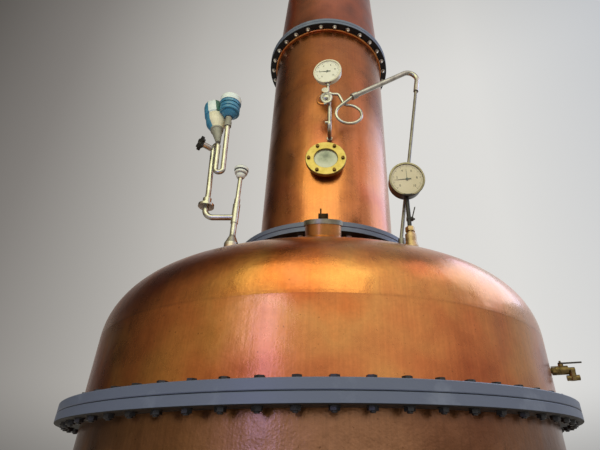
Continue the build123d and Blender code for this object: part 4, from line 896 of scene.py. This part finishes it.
def bead_tree():
    """Node tree for a brazed fillet: a round bar bent to a circle, with a faint ripple along it."""
    tree, given = start_growth("brazed_fillet", (
        ("Seed Mesh", "INPUT", "Geometry"),
        ("Circle Radius", "INPUT", "Float"),
        ("Bead Radius", "INPUT", "Float"),
        ("Segments", "INPUT", "Int"),
        ("Finish", "INPUT", "Material"),
        ("Bead", "OUTPUT", "Geometry"),
    ))
    path = add(tree, "GeometryNodeCurvePrimitiveCircle", {
        "Resolution": given["Segments"], "Radius": given["Circle Radius"],
    })
    section = add(tree, "GeometryNodeCurvePrimitiveCircle", {
        "Resolution": FILLET_SECTION, "Radius": given["Bead Radius"],
    })
    bar = add(tree, "GeometryNodeCurveToMesh", {"Curve": path.outputs[0], "Profile Curve": section.outputs[0]})
    place = add(tree, "GeometryNodeInputPosition").outputs[0]
    ripple = add(tree, "ShaderNodeTexNoise", {"Vector": place, "Scale": BEAD_RIPPLE, "Detail": 1.0})
    lift = add(tree, "ShaderNodeMapRange", {
        "Value": ripple.outputs["Fac"], **NOISE_SPAN, "To Min": -RIPPLE_LIFT, "To Max": RIPPLE_LIFT,
    })
    way = add(tree, "ShaderNodeCombineXYZ", {"Z": lift.outputs[0]})
    moved = add(tree, "GeometryNodeSetPosition", {"Geometry": bar.outputs[0], "Offset": way.outputs[0]})
    end_growth(tree, moved.outputs[0], given["Finish"], "Bead")
    return tree


def brazed_fillets():
    """Fillets where a copper wall stands on its flange, or under it."""
    tree = bead_tree()
    for name, circle, bead, segments, height in FILLETS:
        seed = bpy.data.objects.new("fillet", bpy.data.meshes.new("fillet"))
        scene.collection.objects.link(seed)
        values = {"Circle Radius": circle, "Bead Radius": bead, "Segments": segments, "Finish": FITTING_COPPER}
        grow(name, seed, tree, values, Matrix.Translation((0, 0, height)), FILLET_EDGE)


def dial_place(size):
    """Matrix of a dial: its X to the right, its Y up the dial and its Z out of the dial."""
    turn, tilt = radians(size["turn"]), radians(size["tilt"])
    normal = dial_way(turn, tilt)
    across = Vector((cos(turn), -sin(turn), 0.0))
    matrix = Matrix((across, normal.cross(across), normal)).transposed().to_4x4()
    matrix.translation = Vector(size["place"])
    return matrix


def spoke(angle):
    """Directions along and across a spoke of a dial."""
    return Vector((cos(angle), sin(angle), 0.0)), Vector((-sin(angle), cos(angle), 0.0))


def flat_bar(bm, corners, low, high):
    """Thin closed plate from its outline in the dial's plane, between two heights over the dial's floor."""
    under = [bm.verts.new((corner.x, corner.y, DIAL_FLOOR + low)) for corner in corners]
    over = [bm.verts.new((corner.x, corner.y, DIAL_FLOOR + high)) for corner in corners]
    bm.faces.new(over)
    bm.faces.new(list(reversed(under)))
    for step in range(len(corners)):
        after = (step + 1) % len(corners)
        bm.faces.new((under[step], under[after], over[after], over[step]))


def dial_piece(name, bm, material, matrix):
    """Piece of a dial, put in place and riding on the still."""
    piece = mesh_object(name, bm, material)
    piece.data.transform(matrix)
    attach(piece, STILL)


def dial_marks(bm, radius):
    """Long and short marks of a dial."""
    marks = DIAL_PARTS * SMALL_PARTS
    for mark in range(marks + 1):
        along, side = spoke(DIAL_START - DIAL_SWEEP * mark / marks)
        long_mark = mark % SMALL_PARTS == 0
        inner = radius * (LONG_MARK_START if long_mark else SHORT_MARK_START)
        outer = radius * MARK_END
        side *= LONG_MARK_HALF if long_mark else SHORT_MARK_HALF
        corners = (along * inner - side, along * outer - side, along * outer + side, along * inner + side)
        flat_bar(bm, corners, CARD_TOP, INK_TOP)


def dial_hands(bm, size):
    """Hub and needle of a dial, and its set hand where it has one."""
    radius = size["radius"]
    stack(bm, [(reach, DIAL_FLOOR + height) for reach, height in HUB], HUB_SIDES)
    along, side = spoke(radians(size["needle"]))
    flat_bar(bm, (
        along * radius * NEEDLE_TIP,
        along * radius * NEEDLE_WAIST + side * NEEDLE_WAIST_HALF,
        along * radius * NEEDLE_TAIL + side * NEEDLE_TAIL_HALF,
        along * radius * NEEDLE_TAIL - side * NEEDLE_TAIL_HALF,
        along * radius * NEEDLE_WAIST - side * NEEDLE_WAIST_HALF,
    ), *NEEDLE_SPAN)
    if "set_hand" in size:
        along, side = spoke(radians(size["set_hand"]))
        tip, side = along * radius * SET_HAND_TIP, side * SET_HAND_HALF
        flat_bar(bm, (side, side * -1, tip - side, tip + side), *SET_HAND_SPAN)


def dial_number(name, number, radius, matrix):
    """One number of a dial, upright beside its long mark."""
    curve = bpy.data.curves.new(f"{name}_number_{number}", "FONT")
    curve.body = str(number)
    curve.size = radius * NUMBER_HEIGHT
    curve.extrude = NUMBER_THICKNESS
    curve.align_x = "CENTER"
    curve.align_y = "CENTER"
    text = bpy.data.objects.new(curve.name, curve)
    scene.collection.objects.link(text)
    spot = spoke(DIAL_START - DIAL_SWEEP * number / DIAL_PARTS)[0] * radius * NUMBER_CIRCLE
    spot.z = DIAL_FLOOR + INK_TOP
    figure = plain_mesh(curve.name, text, matrix @ Matrix.Translation(spot))
    figure.data.materials.clear()
    figure.data.materials.append(DIAL_INK)
    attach(figure, STILL)


def dial(name, size, card):
    """Dial of a pressure gauge behind its bezel: card, marks, hands and every second number."""
    matrix = dial_place(size)
    radius = size["radius"]
    bm = bmesh.new()
    stack(bm, ((radius, DIAL_FLOOR), (radius, DIAL_FLOOR + CARD_TOP)), CARD_SIDES)
    dial_piece(name + "_face", bm, card, matrix)
    bm = bmesh.new()
    dial_marks(bm, radius)
    dial_piece(name + "_marks", bm, DIAL_INK, matrix)
    bm = bmesh.new()
    dial_hands(bm, size)
    dial_piece(name + "_needle", bm, NEEDLE_GREY, matrix)
    for number in range(0, DIAL_PARTS + 1, 2):
        dial_number(name, number, radius, matrix)


def build_camera():
    """Camera at the photograph's place, looking up at the dome and the neck."""
    data = bpy.data.cameras.new("camera")
    data.lens = CAMERA_LENS
    data.sensor_width = CAMERA_SENSOR
    data.shift_x, data.shift_y = CAMERA_SHIFT
    camera = bpy.data.objects.new("camera", data)
    level = Vector((-sin(CAMERA_YAW), cos(CAMERA_YAW), 0.0))
    across = Vector((cos(CAMERA_YAW), sin(CAMERA_YAW), 0.0))
    forward = level * cos(CAMERA_PITCH) + Vector((0, 0, sin(CAMERA_PITCH)))
    upward = across.cross(forward)
    right = across * cos(CAMERA_ROLL) + upward * sin(CAMERA_ROLL)
    up = upward * cos(CAMERA_ROLL) - across * sin(CAMERA_ROLL)
    camera.matrix_world = Matrix.Translation(CAMERA_PLACE) @ Matrix((right, up, -forward)).transposed().to_4x4()
    scene.collection.objects.link(camera)
    scene.camera = camera


def soft_box(name, place, aim, width, height, radiance, code):
    """Flat soft box at a place, turned towards a point."""
    data = bpy.data.lights.new(name, "AREA")
    data.shape = "RECTANGLE"
    data.size = width
    data.size_y = height
    data.energy = radiance * pi * width * height
    data.color = linear(code)[:3]
    lamp = bpy.data.objects.new(name, data)
    lamp.location = Vector(place)
    lamp.rotation_mode = "QUATERNION"
    lamp.rotation_quaternion = (Vector(place) - Vector(aim)).to_track_quat("Z", "Y")
    lamp.visible_camera = False
    scene.collection.objects.link(lamp)


def studio_world():
    """Soft room light that is full in front, dim on the left, and lower near the floor and overhead."""
    world = bpy.data.worlds.new("studio")
    scene.world = world
    world.use_nodes = True
    tree = world.node_tree
    tree.nodes.clear()
    way = add(tree, "ShaderNodeTexCoord").outputs["Generated"]
    parts = add(tree, "ShaderNodeSeparateXYZ", {"Vector": way}).outputs
    ahead = add(tree, "ShaderNodeMath", {0: parts["Y"], 1: -1.0}, operation="MULTIPLY").outputs[0]
    azimuth = add(tree, "ShaderNodeMath", {0: parts["X"], 1: ahead}, operation="ARCTAN2").outputs[0]
    share = add(tree, "ShaderNodeMapRange", {
        "Value": azimuth, "From Min": -pi, "From Max": pi, "To Min": 0.0, "To Max": 1.0,
    }).outputs[0]
    stops = [((angle + 180) / 360, code) for angle, code in ROOM_LIGHT]
    around = add(tree, "ShaderNodeValToRGB", {"Fac": share}, stops=stops).outputs[0]
    near_floor, overhead = [
        add(tree, "ShaderNodeMapRange", {
            "Value": parts["Z"], "From Min": start, "From Max": end, "To Min": before, "To Max": after,
        }, interpolation_type="SMOOTHSTEP").outputs[0]
        for start, end, before, after in ROOM_DIMMING
    ]
    level = add(tree, "ShaderNodeMath", {0: near_floor, 1: overhead}, operation="MULTIPLY").outputs[0]
    sky = add(tree, "ShaderNodeBackground", {"Color": around, "Strength": level})
    add(tree, "ShaderNodeOutputWorld", {"Surface": sky.outputs[0]})


def build_studio():
    """Pale floor, the room light and four soft boxes."""
    bm = bmesh.new()
    corners = ((-1, -1), (1, -1), (1, 1), (-1, 1))
    bm.faces.new([bm.verts.new((x * FLOOR_HALF, y * FLOOR_HALF, 0)) for x, y in corners])
    floor = mesh_object("floor", bm, PALE_FLOOR)
    studio_world()
    for box in SOFT_BOXES:
        soft_box(*box)


flange_bolts()
build_heads()
cock_cap()
brazed_fillets()
dial("neck_dial", NECK_DIAL, DIAL_WHITE)
dial("dome_dial", DOME_DIAL, DIAL_IVORY)
build_camera()
build_studio()
scene.view_settings.view_transform = "Standard"
